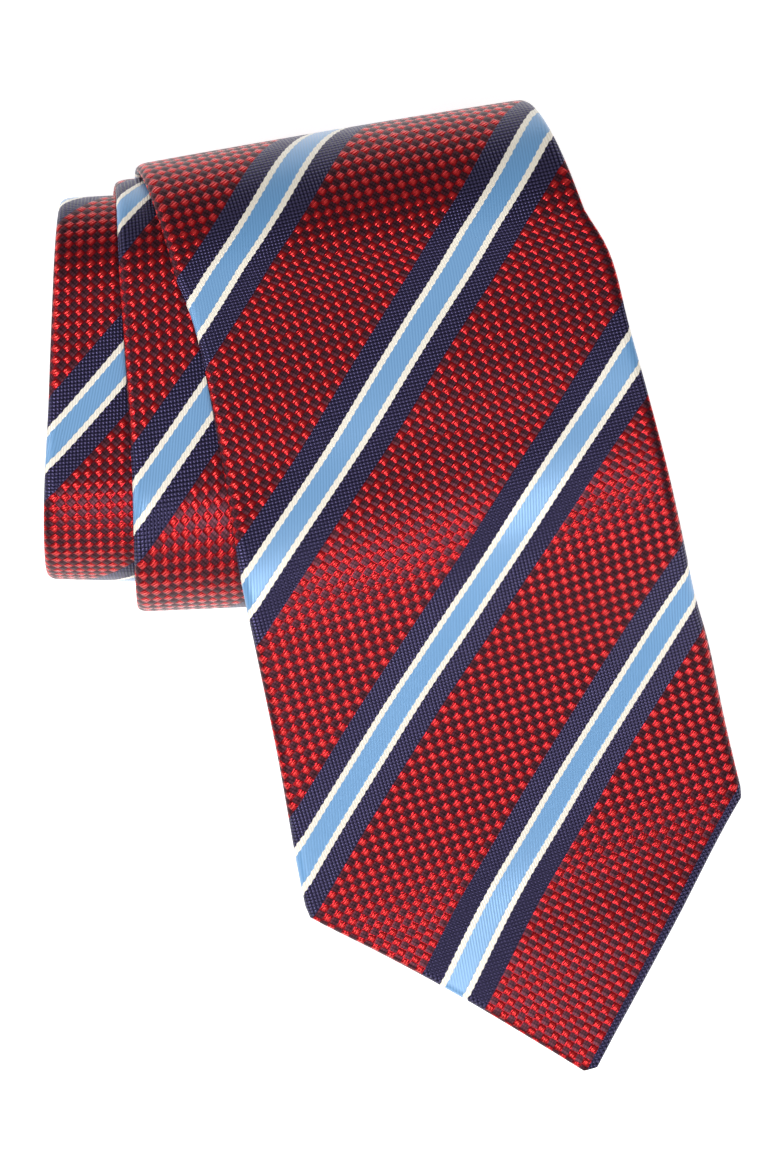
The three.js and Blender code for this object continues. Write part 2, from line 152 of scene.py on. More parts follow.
@dataclass(frozen=True)
class Cut:
    """The flat tie: its lengths, widths and layers, in millimetres.

    The wide panel is divided at the crest cut, under the crest, so that its free end can lift.
    """

    length: float = 1440
    blade_width: float = 89
    neck_width: float = 35
    tail_width: float = 42
    neck_start: float = 950
    neck_end: float = 1080
    point_width: float = 3
    blade_point: float = 46
    tail_point: float = 21
    silk: float = 0.4
    clearance: float = 0.3
    canvas: float = 0.8
    lining: float = 0.3
    hem: float = 17
    crest_cut: float = 264
    seam_half_gap: float = 0.7
    blade_tack_at: float = 118
    tail_tack_from_point: float = 60
    lining_fade: float = 14

    @property
    def sleeve(self) -> float:
        """Thickness of the pressed sleeve without its lining."""
        return 2 * self.silk + self.canvas + 2 * self.clearance

    @property
    def lined_sleeve(self) -> float:
        """Thickness of the sleeve where a lining lies in it."""
        return self.sleeve + self.lining + self.clearance

    @property
    def tail_tack_at(self) -> float:
        """Distance from the wide point to the bar tack of the tail."""
        return self.length - self.tail_tack_from_point

    def width(self, along: float) -> float:
        """Width of the tie at a distance from the wide point.

        Args:
            along: the distance from the wide point.

        Returns:
            The width there.
        """
        blade_share = max(0.0, (self.neck_start - along) / (self.neck_start - self.blade_point))
        tail_run = self.length - self.tail_point - self.neck_end
        tail_share = max(0.0, (along - self.neck_end) / tail_run)
        taper = min(1.0, blade_share) * (self.blade_width - self.neck_width)
        taper += min(1.0, tail_share) * (self.tail_width - self.neck_width)

        def pointed(from_point: float, end_width: float, point_length: float) -> float:
            """Width in the pointed stretch of one end."""
            return self.point_width + (end_width - self.point_width) * from_point / point_length

        return min(
            self.neck_width + taper,
            pointed(along, self.blade_width, self.blade_point),
            pointed(self.length - along, self.tail_width, self.tail_point),
        )

    def flap_gap(self, along: float) -> float:
        """Half the gap between the two back flaps: open over each lining, closed at the seam.

        Args:
            along: the distance from the wide point.

        Returns:
            Half the gap there.
        """

        def open_end(from_point: float, end_width: float, corner: float, tack: float) -> float:
            """Half the gap in the lined stretch of one end."""
            if from_point < corner:
                return self.width(along) / 2 - self.hem
            return (end_width / 2 - self.hem) * (1 - (from_point - corner) / (tack - corner))

        blade = open_end(along, self.blade_width, self.blade_point, self.blade_tack_at)
        tail = open_end(
            self.length - along, self.tail_width, self.tail_point, self.tail_tack_from_point
        )
        return max(self.seam_half_gap, blade, tail)

    def thickness(self, along: float) -> float:
        """Thickness of the sleeve: more where a lining lies in it."""
        past_blade = smoothstep(along - self.blade_tack_at, 0, self.lining_fade)
        past_tail = smoothstep(self.tail_tack_at - along, 0, self.lining_fade)
        lined = 1 - min(past_blade, past_tail)
        return self.sleeve + (self.lined_sleeve - self.sleeve) * lined


# ---- How the tie lies -------------------------------------------------------------------------


@dataclass(frozen=True)
class Fold:
    """One fold of the roll: which end it is at, its centre and its radius."""

    at_top: bool
    radius: float
    y: float
    z: float


@dataclass(frozen=True)
class RollPlace:
    """A place in the roll: its point, its outward normal and its count of half turns."""

    y: float
    z: float
    normal_y: float
    normal_z: float
    half_turns: float


@dataclass(frozen=True)
class Lie:
    """Middle point, cross direction and outward normal of the ribbon at one place."""

    middle: Vector
    across: Vector
    normal: Vector


@dataclass
class Roll:
    """The flattened roll: folds joined by straights, wound inwards."""

    cut: Cut
    rolled_length: float
    top_apex: float = 81.3
    bottom_apex: float = -6.1
    loose_step: float = 1.5
    loose_turns: int = 2
    inner_step: float = 0.35
    top_step: float = -0.15
    bottom_step: float = 5
    bottom_turns: int = 1
    core_margin: float = 6
    height_step: float = 0.1
    smallest_fold: float = 1.7
    pivot_x: float = -66
    lean: Stations = (
        (0, 9.5), (0.25, 9.5), (0.75, 6), (1.25, 2.5), (1.75, 6), (2.25, 7), (2.75, 3),
        (3.25, -1.5), (3.75, 2), (4.25, 3), (4.75, 2), (5.25, 0.5), (6.25, 1.5), (8, 0), (40, 0),
    )
    drift: Stations = (
        (0, -2.3), (0.25, -12), (0.75, -14.8), (1.25, -14.5), (1.75, -17.6), (2.25, -22.5),
        (2.75, -31), (3.25, -38.5), (3.75, -38.8), (4.25, -38.6), (5, -39.8), (6, -40), (40, -40),
    )
    folds: list[Fold] = field(default_factory=list)

    def __post_init__(self) -> None:
        """Finds the lowest roll that takes up the whole rolled length."""
        height = 2 * self.cut.sleeve + 2 * self._inset(2, self.loose_step, self.loose_turns)
        self.folds = self._wind(height)
        while self._capacity() < self.rolled_length:
            height += self.height_step
            self.folds = self._wind(height)

    def _inset(self, turn: int, step: float, turns: int) -> float:
        """How far a turn stands inside the outermost one, with other steps at the outside."""
        outer = min(turn, turns)
        pitch = self.cut.sleeve
        return outer * (pitch + step) + (turn - outer) * (pitch + self.inner_step)

    def _fold(self, half_turn: int, height: float) -> Fold:
        """One fold, counted from the outside.

        Args:
            half_turn: how many folds lie outside it.
            height: the height of the roll.

        Returns:
            The fold.
        """
        at_top = half_turn % 2 == 0
        turn = half_turn // 2
        half_sleeve = self.cut.sleeve / 2
        upper = turn if at_top else turn + 1
        high = height - half_sleeve - self._inset(upper, self.loose_step, self.loose_turns)
        low = half_sleeve + self._inset(turn, self.loose_step, self.loose_turns)
        radius = (high - low) / 2
        if at_top:
            inset = self._inset(turn, self.top_step, self.loose_turns)
            centre = self.top_apex - half_sleeve - inset - radius
        else:
            inset = self._inset(turn, self.bottom_step, self.bottom_turns)
            centre = self.bottom_apex + half_sleeve + inset + radius
        return Fold(at_top, radius, centre, (high + low) / 2)

    def _wind(self, height: float) -> list[Fold]:
        """All folds of a roll of that height."""
        made: list[Fold] = []
        fold = self._fold(0, height)
        while fold.radius > self.smallest_fold:
            made.append(fold)
            fold = self._fold(len(made), height)
        return made

    def _capacity(self) -> float:
        """Length of ribbon that the roll holds."""
        arcs = sum(math.pi * fold.radius for fold in self.folds)
        runs = [abs(b.y - a.y) for a, b in zip(self.folds, self.folds[1:])]
        return arcs + sum(runs) + runs[-1] - self.core_margin

    def at(self, distance: float) -> RollPlace:
        """Place on the roll after a distance past the crest line.

        Args:
            distance: the distance wound on past the crest line.

        Returns:
            The place.
        """
        rest = distance
        for i, fold in enumerate(self.folds):
            arc = math.pi * fold.radius
            last = i + 1 == len(self.folds)
            straight = math.inf if last else abs(fold.y - self.folds[i + 1].y)
            side = 1 if fold.at_top else -1
            if rest <= arc:
                turned = rest / fold.radius
                normal_y, normal_z = side * math.sin(turned), side * math.cos(turned)
                y, z = fold.y + fold.radius * normal_y, fold.z + fold.radius * normal_z
                return RollPlace(y, z, normal_y, normal_z, i + 0.5 * rest / arc)
            rest -= arc
            if rest <= straight:
                half_turns = i + 0.5 + 0.5 * min(1.0, rest / straight)
                y, z = fold.y - side * rest, fold.z - side * fold.radius
                return RollPlace(y, z, 0.0, -side, half_turns)
            rest -= straight
        raise ValueError("the roll has no place that far along")

    def lie(self, distance: float) -> Lie:
        """How the rolled ribbon lies after a distance past the crest line.

        Args:
            distance: the distance wound on past the crest line.

        Returns:
            How it lies there.
        """
        place = self.at(distance)
        lean = math.radians(through(self.lean, place.half_turns))
        x = through(self.drift, place.half_turns)
        y = place.y + (x - self.pivot_x) * math.tan(lean)
        normal = Vector(
            (-math.sin(lean) * place.normal_y, math.cos(lean) * place.normal_y, place.normal_z)
        )
        across = Vector((math.cos(lean), math.sin(lean), 0))
        return Lie(Vector((x, y, place.z)), across, normal)


@dataclass
class FreeEnd:
    """The wide end's middle line, from the point up to the crest of the roll."""

    cut: Cut
    crest: Vector
    table_gap: float = 0.2
    line: Sequence[tuple[float, float, float]] = (
        (40.7, -98.2, 0), (34.2, -76, 0.048), (27.2, -53.7, 0.14), (20.9, -22, 0.52),
        (14.7, 6.6, 0.93), (8.6, 32, 0.995), (2.5, 55.8, 1),
    )
    lean: Stations = ((0, 15.5), (0.24, 15.3), (0.42, 13.8), (0.6, 13), (0.8, 11.5), (1, 9.5))
    tilt: Stations = ((0, 2), (0.12, 4.5), (0.25, 7.5), (0.42, 9), (0.58, 5), (0.75, 1), (1, 0))
    divisions: int = 800
    probe: float = 0.05
    route: Route = ()
    lengths: list[float] = field(default_factory=list)

    def __post_init__(self) -> None:
        """Measures the middle line."""
        low = self.cut.lined_sleeve - self.cut.sleeve / 2 + self.table_gap
        points = [Vector((x, y, low + (self.crest.z - low) * c)) for x, y, c in self.line]
        self.route = list(enumerate([*points, self.crest]))
        self.lengths = [0.0]
        before = self._curve(0)
        for i in range(1, self.divisions + 1):
            point = self._curve(i / self.divisions)
            self.lengths.append(self.lengths[-1] + (point - before).length)
            before = point

    @property
    def length(self) -> float:
        """Length of the free end."""
        return self.lengths[-1]

    def _curve(self, share: float) -> Vector:
        """Point on the curve through the line's points, at a share of their count."""
        return through(self.route, share * (len(self.route) - 1))

    def _share_at(self, along: float) -> float:
        """Share of the points' count at a length along the line."""
        low = min(bisect_right(self.lengths, along), self.divisions) - 1
        span = self.lengths[low + 1] - self.lengths[low]
        return (low + (along - self.lengths[low]) / span) / self.divisions

    def lie(self, along: float) -> Lie:
        """How the free end lies at a distance from the wide point.

        Args:
            along: the distance from the wide point.

        Returns:
            How it lies there.
        """
        inside = min(self.length, max(0.0, along))
        share = inside / self.length
        lean = math.radians(through(self.lean, share))
        tilt = math.radians(through(self.tilt, share))
        across = Vector(
            (math.cos(lean) * math.cos(tilt), math.sin(lean) * math.cos(tilt), -math.sin(tilt))
        )
        near, far = max(0.0, inside - self.probe), min(self.length, inside + self.probe)
        forward = self._curve(self._share_at(far)) - self._curve(self._share_at(near))
        normal = across.cross(forward).normalized()
        return Lie(self._curve(self._share_at(inside)), across, normal)


@dataclass
class Ribbon:
    """The whole tie as it lies, with the flat cloth's own coordinates on it."""

    cut: Cut = field(default_factory=Cut)
    planned_free_length: float = 187
    ease: Stations = (
        (0, -1), (24, -2.2), (48, -3.4), (64, -5.1), (80, -6.9), (96, -8.9), (112, -10.9),
        (124, -11), (144, -9.9), (170, -9.1), (192, -6.8), (210, -9.5), (230, -13.5), (264, -21),
        (300, -28), (340, -33), (372, -37.6), (425, -40), (480, -40), (560, -27.5), (600, -28),
        (640, -28),
    )
    skew: Stations = (
        (0, 0), (40, -0.01), (80, -0.036), (120, -0.03), (160, -0.03), (192, -0.06), (230, -0.08),
    )
    side: Stations = (
        (0, -1.1), (24, -0.6), (48, -0.2), (64, 1), (80, 2), (96, 2.5), (120, 2.8), (144, 3.1),
        (160, 3.8), (176, 4.2), (208, 3.6),
    )

    def __post_init__(self) -> None:
        """Winds the roll and lays the free end onto its crest."""
        self.roll = Roll(self.cut, self.cut.length - self.planned_free_length)
        self.free_end = FreeEnd(self.cut, self.roll.lie(0).middle)
        self.shift = Vector((0, 0, 0))
        self._lies: dict[float, Lie] = {}

    @property
    def crest_at(self) -> float:
        """Distance from the wide point to the crest, where the wide end hinges."""
        return self.free_end.length

    def lie(self, along: float) -> Lie:
        """How the ribbon lies at a distance from the wide point."""
        if along not in self._lies:
            on_roll = along >= self.crest_at
            lie = self.roll.lie(along - self.crest_at) if on_roll else self.free_end.lie(along)
            self._lies[along] = lie
        return self._lies[along]

    def point(self, along: float, across: float, depth: float) -> Vector:
        """Point of the ribbon, in metres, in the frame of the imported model.

        Args:
            along: the distance from the wide point.
            across: the distance to the right of the middle line.
            depth: the distance below the front face.

        Returns:
            The point.
        """
        lie = self.lie(along)
        inward = self.cut.sleeve / 2 - depth
        return (lie.middle + lie.across * across + lie.normal * inward) * MM + self.shift

    def flat(self, along: float, across: float, wrapped: float) -> tuple[float, float]:
        """Place on the flat cloth, across and along, in metres.

        Args:
            along: distance from the wide point on the ribbon.
            across: distance to the right of the ribbon's middle line.
            wrapped: the same distance measured round the folded edge on the cloth.

        Returns:
            Across and along on the cloth, whose stripes run at 45 degrees to both.
        """
        slipped = along + through(self.ease, along) + through(self.skew, along) * across
        return (wrapped + through(self.side, along)) * MM, slipped * MM

    def settle(self, low: Vector, high: Vector) -> None:
        """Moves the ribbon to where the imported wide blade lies.

        Args:
            low: the wide blade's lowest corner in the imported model.
            high: its highest corner.
        """
        self.shift = Vector((0, 0, 0))
        edge = [
            self.point(along, side * self.cut.width(along) / 2, depth)
            for along in steps(0, self.crest_at, 1)
            for side in (-1, 1)
            for depth in (0, self.cut.thickness(along))
        ]
        for axis in (0, 1):
            values = [point[axis] for point in edge]
            self.shift[axis] = (low[axis] + high[axis] - min(values) - max(values)) / 2


# ---- Meshes -----------------------------------------------------------------------------------


@dataclass(frozen=True)
class Row:
    """One row of a cloth: where it lies on the ribbon, its place on the cut, and its points."""

    along: float
    cut_along: float
    points: Points


def rows_of(places: Iterable[float], section: Section, start: float = 0) -> list[Row]:
    """Rows of a cloth that lies straight along the ribbon.

    Args:
        places: distances from the wide point, in rising order.
        section: gives the cloth's (across, depth, wrapped) points from left to right there.
        start: the distance at which the cloth's own cut begins.
    """
    return [Row(along, along - start, section(along)) for along in places]


def new_object(name: str, bm: bmesh.types.BMesh) -> bpy.types.Object:
    """Turns a bmesh into a smooth-shaded object of the scene and frees it."""
    mesh = bpy.data.meshes.new(name)
    bm.to_mesh(mesh)
    bm.free()
    mesh.shade_smooth()
    piece = bpy.data.objects.new(name, mesh)
    bpy.context.scene.collection.objects.link(piece)
    return piece


def plain_flat(cut_along: float, across: float, wrapped: float) -> tuple[float, float]:
    """Place on a plain cloth, across and along, in metres."""
    return wrapped * MM, cut_along * MM


def lay_grid(
    name: str,
    ribbon: Ribbon,
    rows: Sequence[Row],
    flat: FlatPlace = plain_flat,
    closed: bool = False,
) -> bpy.types.Object:
    """Lays a grid of cloth on the ribbon.

    Args:
        name: the piece's name.
        ribbon: the ribbon it is laid on.
        rows: the cloth's rows, all with the same count of points.
        flat: gives the place on the flat cloth for the UV map.
        closed: whether each row is a ring, whose ends are then welded and capped.

    Returns:
        The piece, one layer thick, with the flat cloth as its UV map in metres.
    """
    gaps = (len(rows[0].points) - 1, len(rows) - 1)
    half = 0.5
    bm = bmesh.new()
    bmesh.ops.create_grid(bm, x_segments=gaps[0], y_segments=gaps[1], size=half)
    cloth = bm.loops.layers.uv.new("cloth")
    places: dict[int, tuple[float, float]] = {}
    for vertex in bm.verts:
        column, line = (round((vertex.co[i] + half) * gaps[i]) for i in (0, 1))
        row = rows[line]
        across, depth, wrapped = row.points[column]
        vertex.co = ribbon.point(row.along, across, depth)
        places[vertex.index] = flat(row.cut_along, across, wrapped)
    for face in bm.faces:
        for loop in face.loops:
            loop[cloth].uv = places[loop.vert.index]
    if closed:
        bmesh.ops.remove_doubles(bm, verts=bm.verts, dist=WELD * MM)
        ends = [edge for edge in bm.edges if edge.is_boundary]
        bmesh.ops.holes_fill(bm, edges=ends, sides=0)
        bmesh.ops.recalc_face_normals(bm, faces=bm.faces)
    return new_object(name, bm)


def lay_thread(
    name: str, ribbon: Ribbon, places: Iterable[float], across: Callable[[float], float],
    deep: Callable[[float], float], radius: float, sides: int = 6,
) -> bpy.types.Object:
    """Lays a thread along the ribbon.

    Args:
        name: the piece's name.
        ribbon: the ribbon it is laid on.
        places: distances from the wide point that it passes.
        across: how far to the right of the middle line it is at such a distance.
        deep: how far below the front face it is there.
        radius: half its thickness.
        sides: the count of flat sides of its section.
    """
    turns = [2 * math.pi * i / sides for i in range(sides + 1)]

    def section(along: float) -> Points:
        """A ring round the thread's middle."""
        middle, depth = across(along), deep(along)
        return [
            (middle + radius * math.cos(t), depth + radius * math.sin(t), radius * t)
            for t in turns
        ]

    return lay_grid(name, ribbon, rows_of(places, section), closed=True)


@dataclass(frozen=True)
class Stitch:
    """One short stitch: its middle on the ribbon, its length and its turn from the along way."""

    along: float
    across: float
    depth: float
    length: float
    turn: float = 0


@dataclass(frozen=True)
class Finish:
    """What a piece is made of: its slot, its outer face's material and any other inner one."""

    slot: str
    outer: bpy.types.Material
    inner: bpy.types.Material | None = None


def declare(
    piece: bpy.types.Object, rows: Sequence[Row],
    rests_on: Sequence[bpy.types.Object] = (),
) -> None:
    """Logs the size of a piece's flat cut.

    Args:
        piece: the cloth.
        rows: the rows it was laid from, which hold its flat cut.
        rests_on: the pieces that it lies on; not used.
    """
    widths = [row.points[-1][2] - row.points[0][2] for row in rows]
    gaps = [b.cut_along - a.cut_along for a, b in zip(rows, rows[1:])]
    area = sum(gap * (a + b) / 2 for gap, a, b in zip(gaps, widths, widths[1:]))
    width, length = max(widths), sum(gaps)
    list(rests_on)
    log.info("%s: cut %.0f x %.0f mm, %.0f cm2", piece.name, width, length, area / 100)


def hand_over(piece: bpy.types.Object, finish: Finish, *nodes: str) -> bpy.types.Object:
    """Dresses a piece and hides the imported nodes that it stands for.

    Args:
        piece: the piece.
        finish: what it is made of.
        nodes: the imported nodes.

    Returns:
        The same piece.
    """
    for material in filter(None, (finish.outer, finish.inner)):
        piece.data.materials.append(material)
    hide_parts(*nodes)
    log.info("made %s for %s", piece.name, ", ".join(nodes))
    return piece


# ---- Materials --------------------------------------------------------------------------------


def linear(colour: str) -> tuple[float, float, float, float]:
    """Turns an sRGB hex colour into the linear one that shaders take."""
    parts = [int(colour[i : i + 2], 16) / 255 for i in (1, 3, 5)]
    made = [c / 12.92 if c <= 0.04045 else ((c + 0.055) / 1.055) ** 2.4 for c in parts]
    return (made[0], made[1], made[2], 1.0)


def node(
    tree: bpy.types.NodeTree, kind: str, *sources: object, **settings: object
) -> bpy.types.NodeSocket | None:
    """Adds a node.

    Args:
        tree: the node tree it goes in.
        kind: the node's type, without its ShaderNode prefix, then after a space the operation
            of a Math node or the data type of a Mix node.
        sources: one for each input in use, in order: a socket to link, a hex colour or another
            value to set, or None to leave it.
        settings: the node's own properties.

    Returns:
        The first output in use, or None where the node has none.
    """
    kind, _, mode = kind.partition(" ")
    made = tree.nodes.new("ShaderNode" + kind)
    if mode:
        settings["operation" if kind == "Math" else "data_type"] = mode
    for name, value in settings.items():
        setattr(made, name, value)
    for socket, source in zip([s for s in made.inputs if s.enabled], sources):
        if isinstance(source, bpy.types.NodeSocket):
            tree.links.new(source, socket)
        elif source is not None:
            socket.default_value = linear(source) if isinstance(source, str) else source
    return next((s for s in made.outputs if s.enabled), None)


def new_material(
    name: str, uses: Callable[[Callable], tuple], relief: float, **constants: float
) -> bpy.types.Material:
    """Makes a material from a pattern.

    Args:
        name: the material's name.
        uses: builds the pattern with the node adder it is given, and returns the sockets of its
            colour, its height from 0 to 1, its roughness, and where they vary, how metallic it
            is and the weight of its coat.
        relief: how deep the pattern is, in millimetres.
        constants: the shader's own values, with underscores for spaces.

    Returns:
        The material.
    """
    material = bpy.data.materials.new(name)
    material.use_nodes = True
    tree = material.node_tree
    tree.nodes.clear()
    put = partial(node, tree)
    colour, height, roughness, *varied = uses(put)
    bump = put("Bump", 1.0, relief * MM, 1.0, height)
    shader = put("BsdfPrincipled", colour)
    inputs = shader.node.inputs
    keys = ("Roughness", "Normal", "Metallic", "Coat Weight")
    for key, socket in zip(keys, (roughness, bump, *varied)):
        tree.links.new(socket, inputs[key])
    for key, value in constants.items():
        inputs[key.replace("_", " ")].default_value = value
    put("OutputMaterial", shader)
    return material


def cloth_axes(put: Callable, *mapping: object) -> Sequence[bpy.types.NodeSocket]:
    """Across and along on the flat cloth in millimetres, moved and turned by the mapping."""
    moved, turned = mapping or (None, None)
    scaled = put("Mapping", put("UVMap", uv_map="cloth"), moved, turned, (1 / MM, 1 / MM, 1))
    return put("SeparateXYZ", scaled).node.outputs[:2]


def ridges(
    put: Callable, source: bpy.types.NodeSocket, pitch: float, power: float = 1.0
) -> bpy.types.NodeSocket:
    """Rounded ridges across a coordinate, from 0 between them to 1 on top.

    Args:
        put: the node adder.
        source: the coordinate.
        pitch: from one ridge to the next, in the coordinate's unit.
        power: under 1 for fuller ridges, and over 1 for narrower ones.

    Returns:
        The socket of the ridges' height.
    """
    wave = put("Math SINE", put("Math MULTIPLY", source, math.pi / pitch))
    return put("Math POWER", put("Math ABSOLUTE", wave), power)


class Face(Enum):
    """Which face of the cloth a material shows."""

    RIGHT = "right"
    WRONG = "wrong"


@dataclass(frozen=True)
class StripedSilk:
    """Woven silk, yarn dyed: a red checker ground with navy, ivory and blue stripes.

    The red yarns run along the stripes and float over every other square, so each red square is
    a small glossy cushion, and fine dark yarns cross the squares between. It is cut on the bias,
    so the stripes run at 45 degrees to the tie. Dyed silk mirrors light in its own colour, and
    the pale satin and cords mirror it white. The pin dots and the lines of the blue satin are
    drawn a little coarser than the real 0.4 mm threads, to show at all. Lengths are in mm.
    """

    period: float = 37.4
    first_stripe: float = -6.35
    blue_half: float = 1.93
    ivory_edge: float = 3.05
    navy_edge: float = 7.0
    squares: int = 15
    dot_pitch: float = 0.98
    satin_pitch: float = 0.56
    rope_pitch: float = 0.75
    rope_sway: float = 0.07
    # Colour of the painted highlight on the red cushions.
    red_painted_glint: str = "#EA443E"
    red: str = "#A8121D"
    # Deep red: painted shade at the red cushions' rims, and the real colour of the red specks in the
    # dark squares.
    deep_red_rim_shade_and_specks: str = "#6A0A14"
    dark: str = "#1E0A11"
    dark_yarn: str = "#5A2B36"
    navy: str = "#110E23"
    navy_dot: str = "#565078"
    ivory: str = "#EFE9DC"
    ivory_shade: str = "#CDC2AE"
    blue: str = "#6699C8"
    blue_shade: str = "#4F82B0"
    wrong_side: str = "#5E3A48"
    glossy: float = 0.17
    smooth: float = 0.25
    dull: float = 0.38
    tinted_shine: float = 0.72
    pale_tint: float = 0.1
    white_shine: float = 1.0
    relief: float = 0.25
    wrong_relief: float = 0.1
    cushion_power: float = 0.7
    # Shapes the painted shade at the red cushions' rims.
    rim_shade_power: float = 0.45
    # Shapes the painted highlight on the red cushions.
    painted_glint_power: float = 2.6
    yarn_power: float = 0.8
    pick_power: float = 0.5
    dot_power: float = 1.3
    rope_power: float = 0.6
    floats: float = 2.6
    float_slant: float = -0.25
    float_relief: float = 0.65
    crossings: int = 2
    picks: int = 3
    pick_tone: float = 0.85
    speck_edge: float = 0.03
    speck_power: float = 3.0
    speck_tone: float = 0.8
    dot_tone: float = 0.95
    satin_way: tuple[float, float] = (0.83, 0.56)
    dark_height: float = 0.3
    navy_height: float = 0.6
    ivory_height: float = 0.5
    blue_height: float = 0.15
    patch_scale: float = 180.0
    patch_tone: float = 0.1
    wrong_share: float = 0.65
    wrong_dullness: float = 0.3

    def build(self, name: str, face: Face) -> bpy.types.Material:
        """Makes the material of one face of the cloth.

        Args:
            name: the material's name.
            face: the right side, or the dull wrong side.

        Returns:
            The material.
        """
        if face is Face.RIGHT:
            return new_material(
                name, self._pattern, self.relief,
                Specular_IOR_Level=0.2, Coat_Roughness=0.5, Coat_IOR=1.6,
            )
        return new_material(name, self._wrong_side, self.wrong_relief, Specular_IOR_Level=0.3)

    def _ground(self, put: Callable, x: bpy.types.NodeSocket, y: bpy.types.NodeSocket) -> tuple:
        """The checker ground.

        Args:
            put: the node adder.
            x: the distance across the stripes.
            y: the distance along them.

        Returns:
            The sockets of its colour, its height and its roughness.
        """
        square = (self.period - 2 * self.navy_edge) / self.squares
        start = put("Math SUBTRACT", x, self.navy_edge)
        start = put("Math WRAP", start, self.period, 0.0)
        spot = put("CombineXYZ", *[put("Math MULTIPLY", way, 1 / square) for way in (start, y)], 0.5)
        checker = put("TexChecker", spot, "#FFFFFF", "#000000", 1.0).node.outputs[1]
        cushion = put(
            "Math MULTIPLY", *[ridges(put, way, square, self.cushion_power) for way in (start, y)]
        )
        slanted = put("Math MULTIPLY_ADD", y, self.float_slant, start)
        floats = ridges(put, slanted, square / self.floats, self.yarn_power)
        floats = put("Math MULTIPLY_ADD", floats, self.float_relief, 1 - self.float_relief)
        red_high = put("Math MULTIPLY", cushion, floats)
        crossing = ridges(put, y, square / self.crossings, self.yarn_power)
        along = ridges(put, start, square / self.picks, self.pick_power)
        picks = put("Math MULTIPLY", crossing, along)
        corner = put("Math POWER", cushion, self.speck_power)
        corner = put("Math LESS_THAN", corner, self.speck_edge)
        speck = put("Math MULTIPLY", put("Math MULTIPLY", corner, picks), self.speck_tone)

        # Painted shade: each red cushion darkens to deep red towards its rim, as if its curve turned
        # from the light.
        unshaded_share = put("Math POWER", cushion, self.rim_shade_power)
        red = put("Mix RGBA", unshaded_share, self.deep_red_rim_shade_and_specks, self.red)
        # Painted highlight: a bright red glint painted on the top of each red cushion, over its real
        # gloss.
        painted_glint = put("Math POWER", red_high, self.painted_glint_power)
        red = put("Mix RGBA", painted_glint, red, self.red_painted_glint)
        pick_tone = put("Math MULTIPLY", picks, self.pick_tone)
        dark = put("Mix RGBA", pick_tone, self.dark, self.dark_yarn)
        dark = put("Mix RGBA", speck, dark, self.deep_red_rim_shade_and_specks)
        dark_high = put("Math MULTIPLY", cushion, self.dark_height)
        return (
            put("Mix RGBA", checker, dark, red),
            put("Mix FLOAT", checker, dark_high, red_high),
            put("Mix FLOAT", checker, self.dull, self.glossy),
        )

    def _pattern(self, put: Callable) -> tuple:
        """The right side.

        Args:
            put: the node adder.

        Returns:
            The sockets of its colour, height, roughness, metal share and coat.
        """
        # The cloth turned by 45 degrees: x runs across the stripes and y along them.
        x, y = cloth_axes(put, (self.first_stripe, 0, 0), (0, 0, math.pi / 4))
        from_stripe = put("Math PINGPONG", x, self.period / 2)
        waver = put("Math SINE", put("Math MULTIPLY", y, math.pi / self.rope_pitch))
        wavy = put("Math MULTIPLY_ADD", waver, self.rope_sway, from_stripe)
        colour, height, roughness = self._ground(put, x, y)

        diagonals = [put(f"Math {way}", x, y) for way in ("ADD", "SUBTRACT")]
        dots = put(
            "Math MULTIPLY", *[ridges(put, way, self.dot_pitch, self.dot_power) for way in diagonals]
        )
        dot_tone = put("Math MULTIPLY", dots, self.dot_tone)
        rope = ridges(put, diagonals[0], self.rope_pitch, self.rope_power)
        satin_way = put("Math MULTIPLY", y, self.satin_way[1])
        satin_way = put("Math MULTIPLY_ADD", x, self.satin_way[0], satin_way)
        satin = ridges(put, satin_way, self.satin_pitch)
        for edge, source, tone, colours, weave, high in (
            (self.navy_edge, from_stripe, dot_tone, (self.navy, self.navy_dot), dots,
             self.navy_height),
            (self.ivory_edge, wavy, rope, (self.ivory_shade, self.ivory), rope,
             self.ivory_height),
            (self.blue_half, wavy, satin, (self.blue_shade, self.blue), satin,
             self.blue_height),
        ):
            inside = put("Math LESS_THAN", source, edge)
            colour = put("Mix RGBA", inside, colour, put("Mix RGBA", tone, *colours))
            height = put("Mix FLOAT", inside, height, put("Math MULTIPLY", weave, high))
        striped = put("Math LESS_THAN", from_stripe, self.navy_edge)
        roughness = put("Mix FLOAT", striped, roughness, self.smooth)
        patches = put(
            "TexNoise", put("UVMap", uv_map="cloth"), self.patch_scale, noise_dimensions="2D"
        )
        roughness = put("Math MULTIPLY_ADD", patches, self.patch_tone, roughness)
        pale = put("Math LESS_THAN", wavy, self.ivory_edge)
        metallic = put("Mix FLOAT", pale, self.tinted_shine, self.pale_tint)
        return colour, height, roughness, metallic, put("Math MULTIPLY", pale, self.white_shine)

    def _wrong_side(self, put: Callable) -> tuple:
        """The dull side, where the yarns that don't show in front float in a muddled mix."""
        colour, height, roughness, *_ = self._pattern(put)
        mixed = put("Mix RGBA", self.wrong_share, colour, self.wrong_side)
        return mixed, height, put("Math ADD", roughness, self.wrong_dullness)


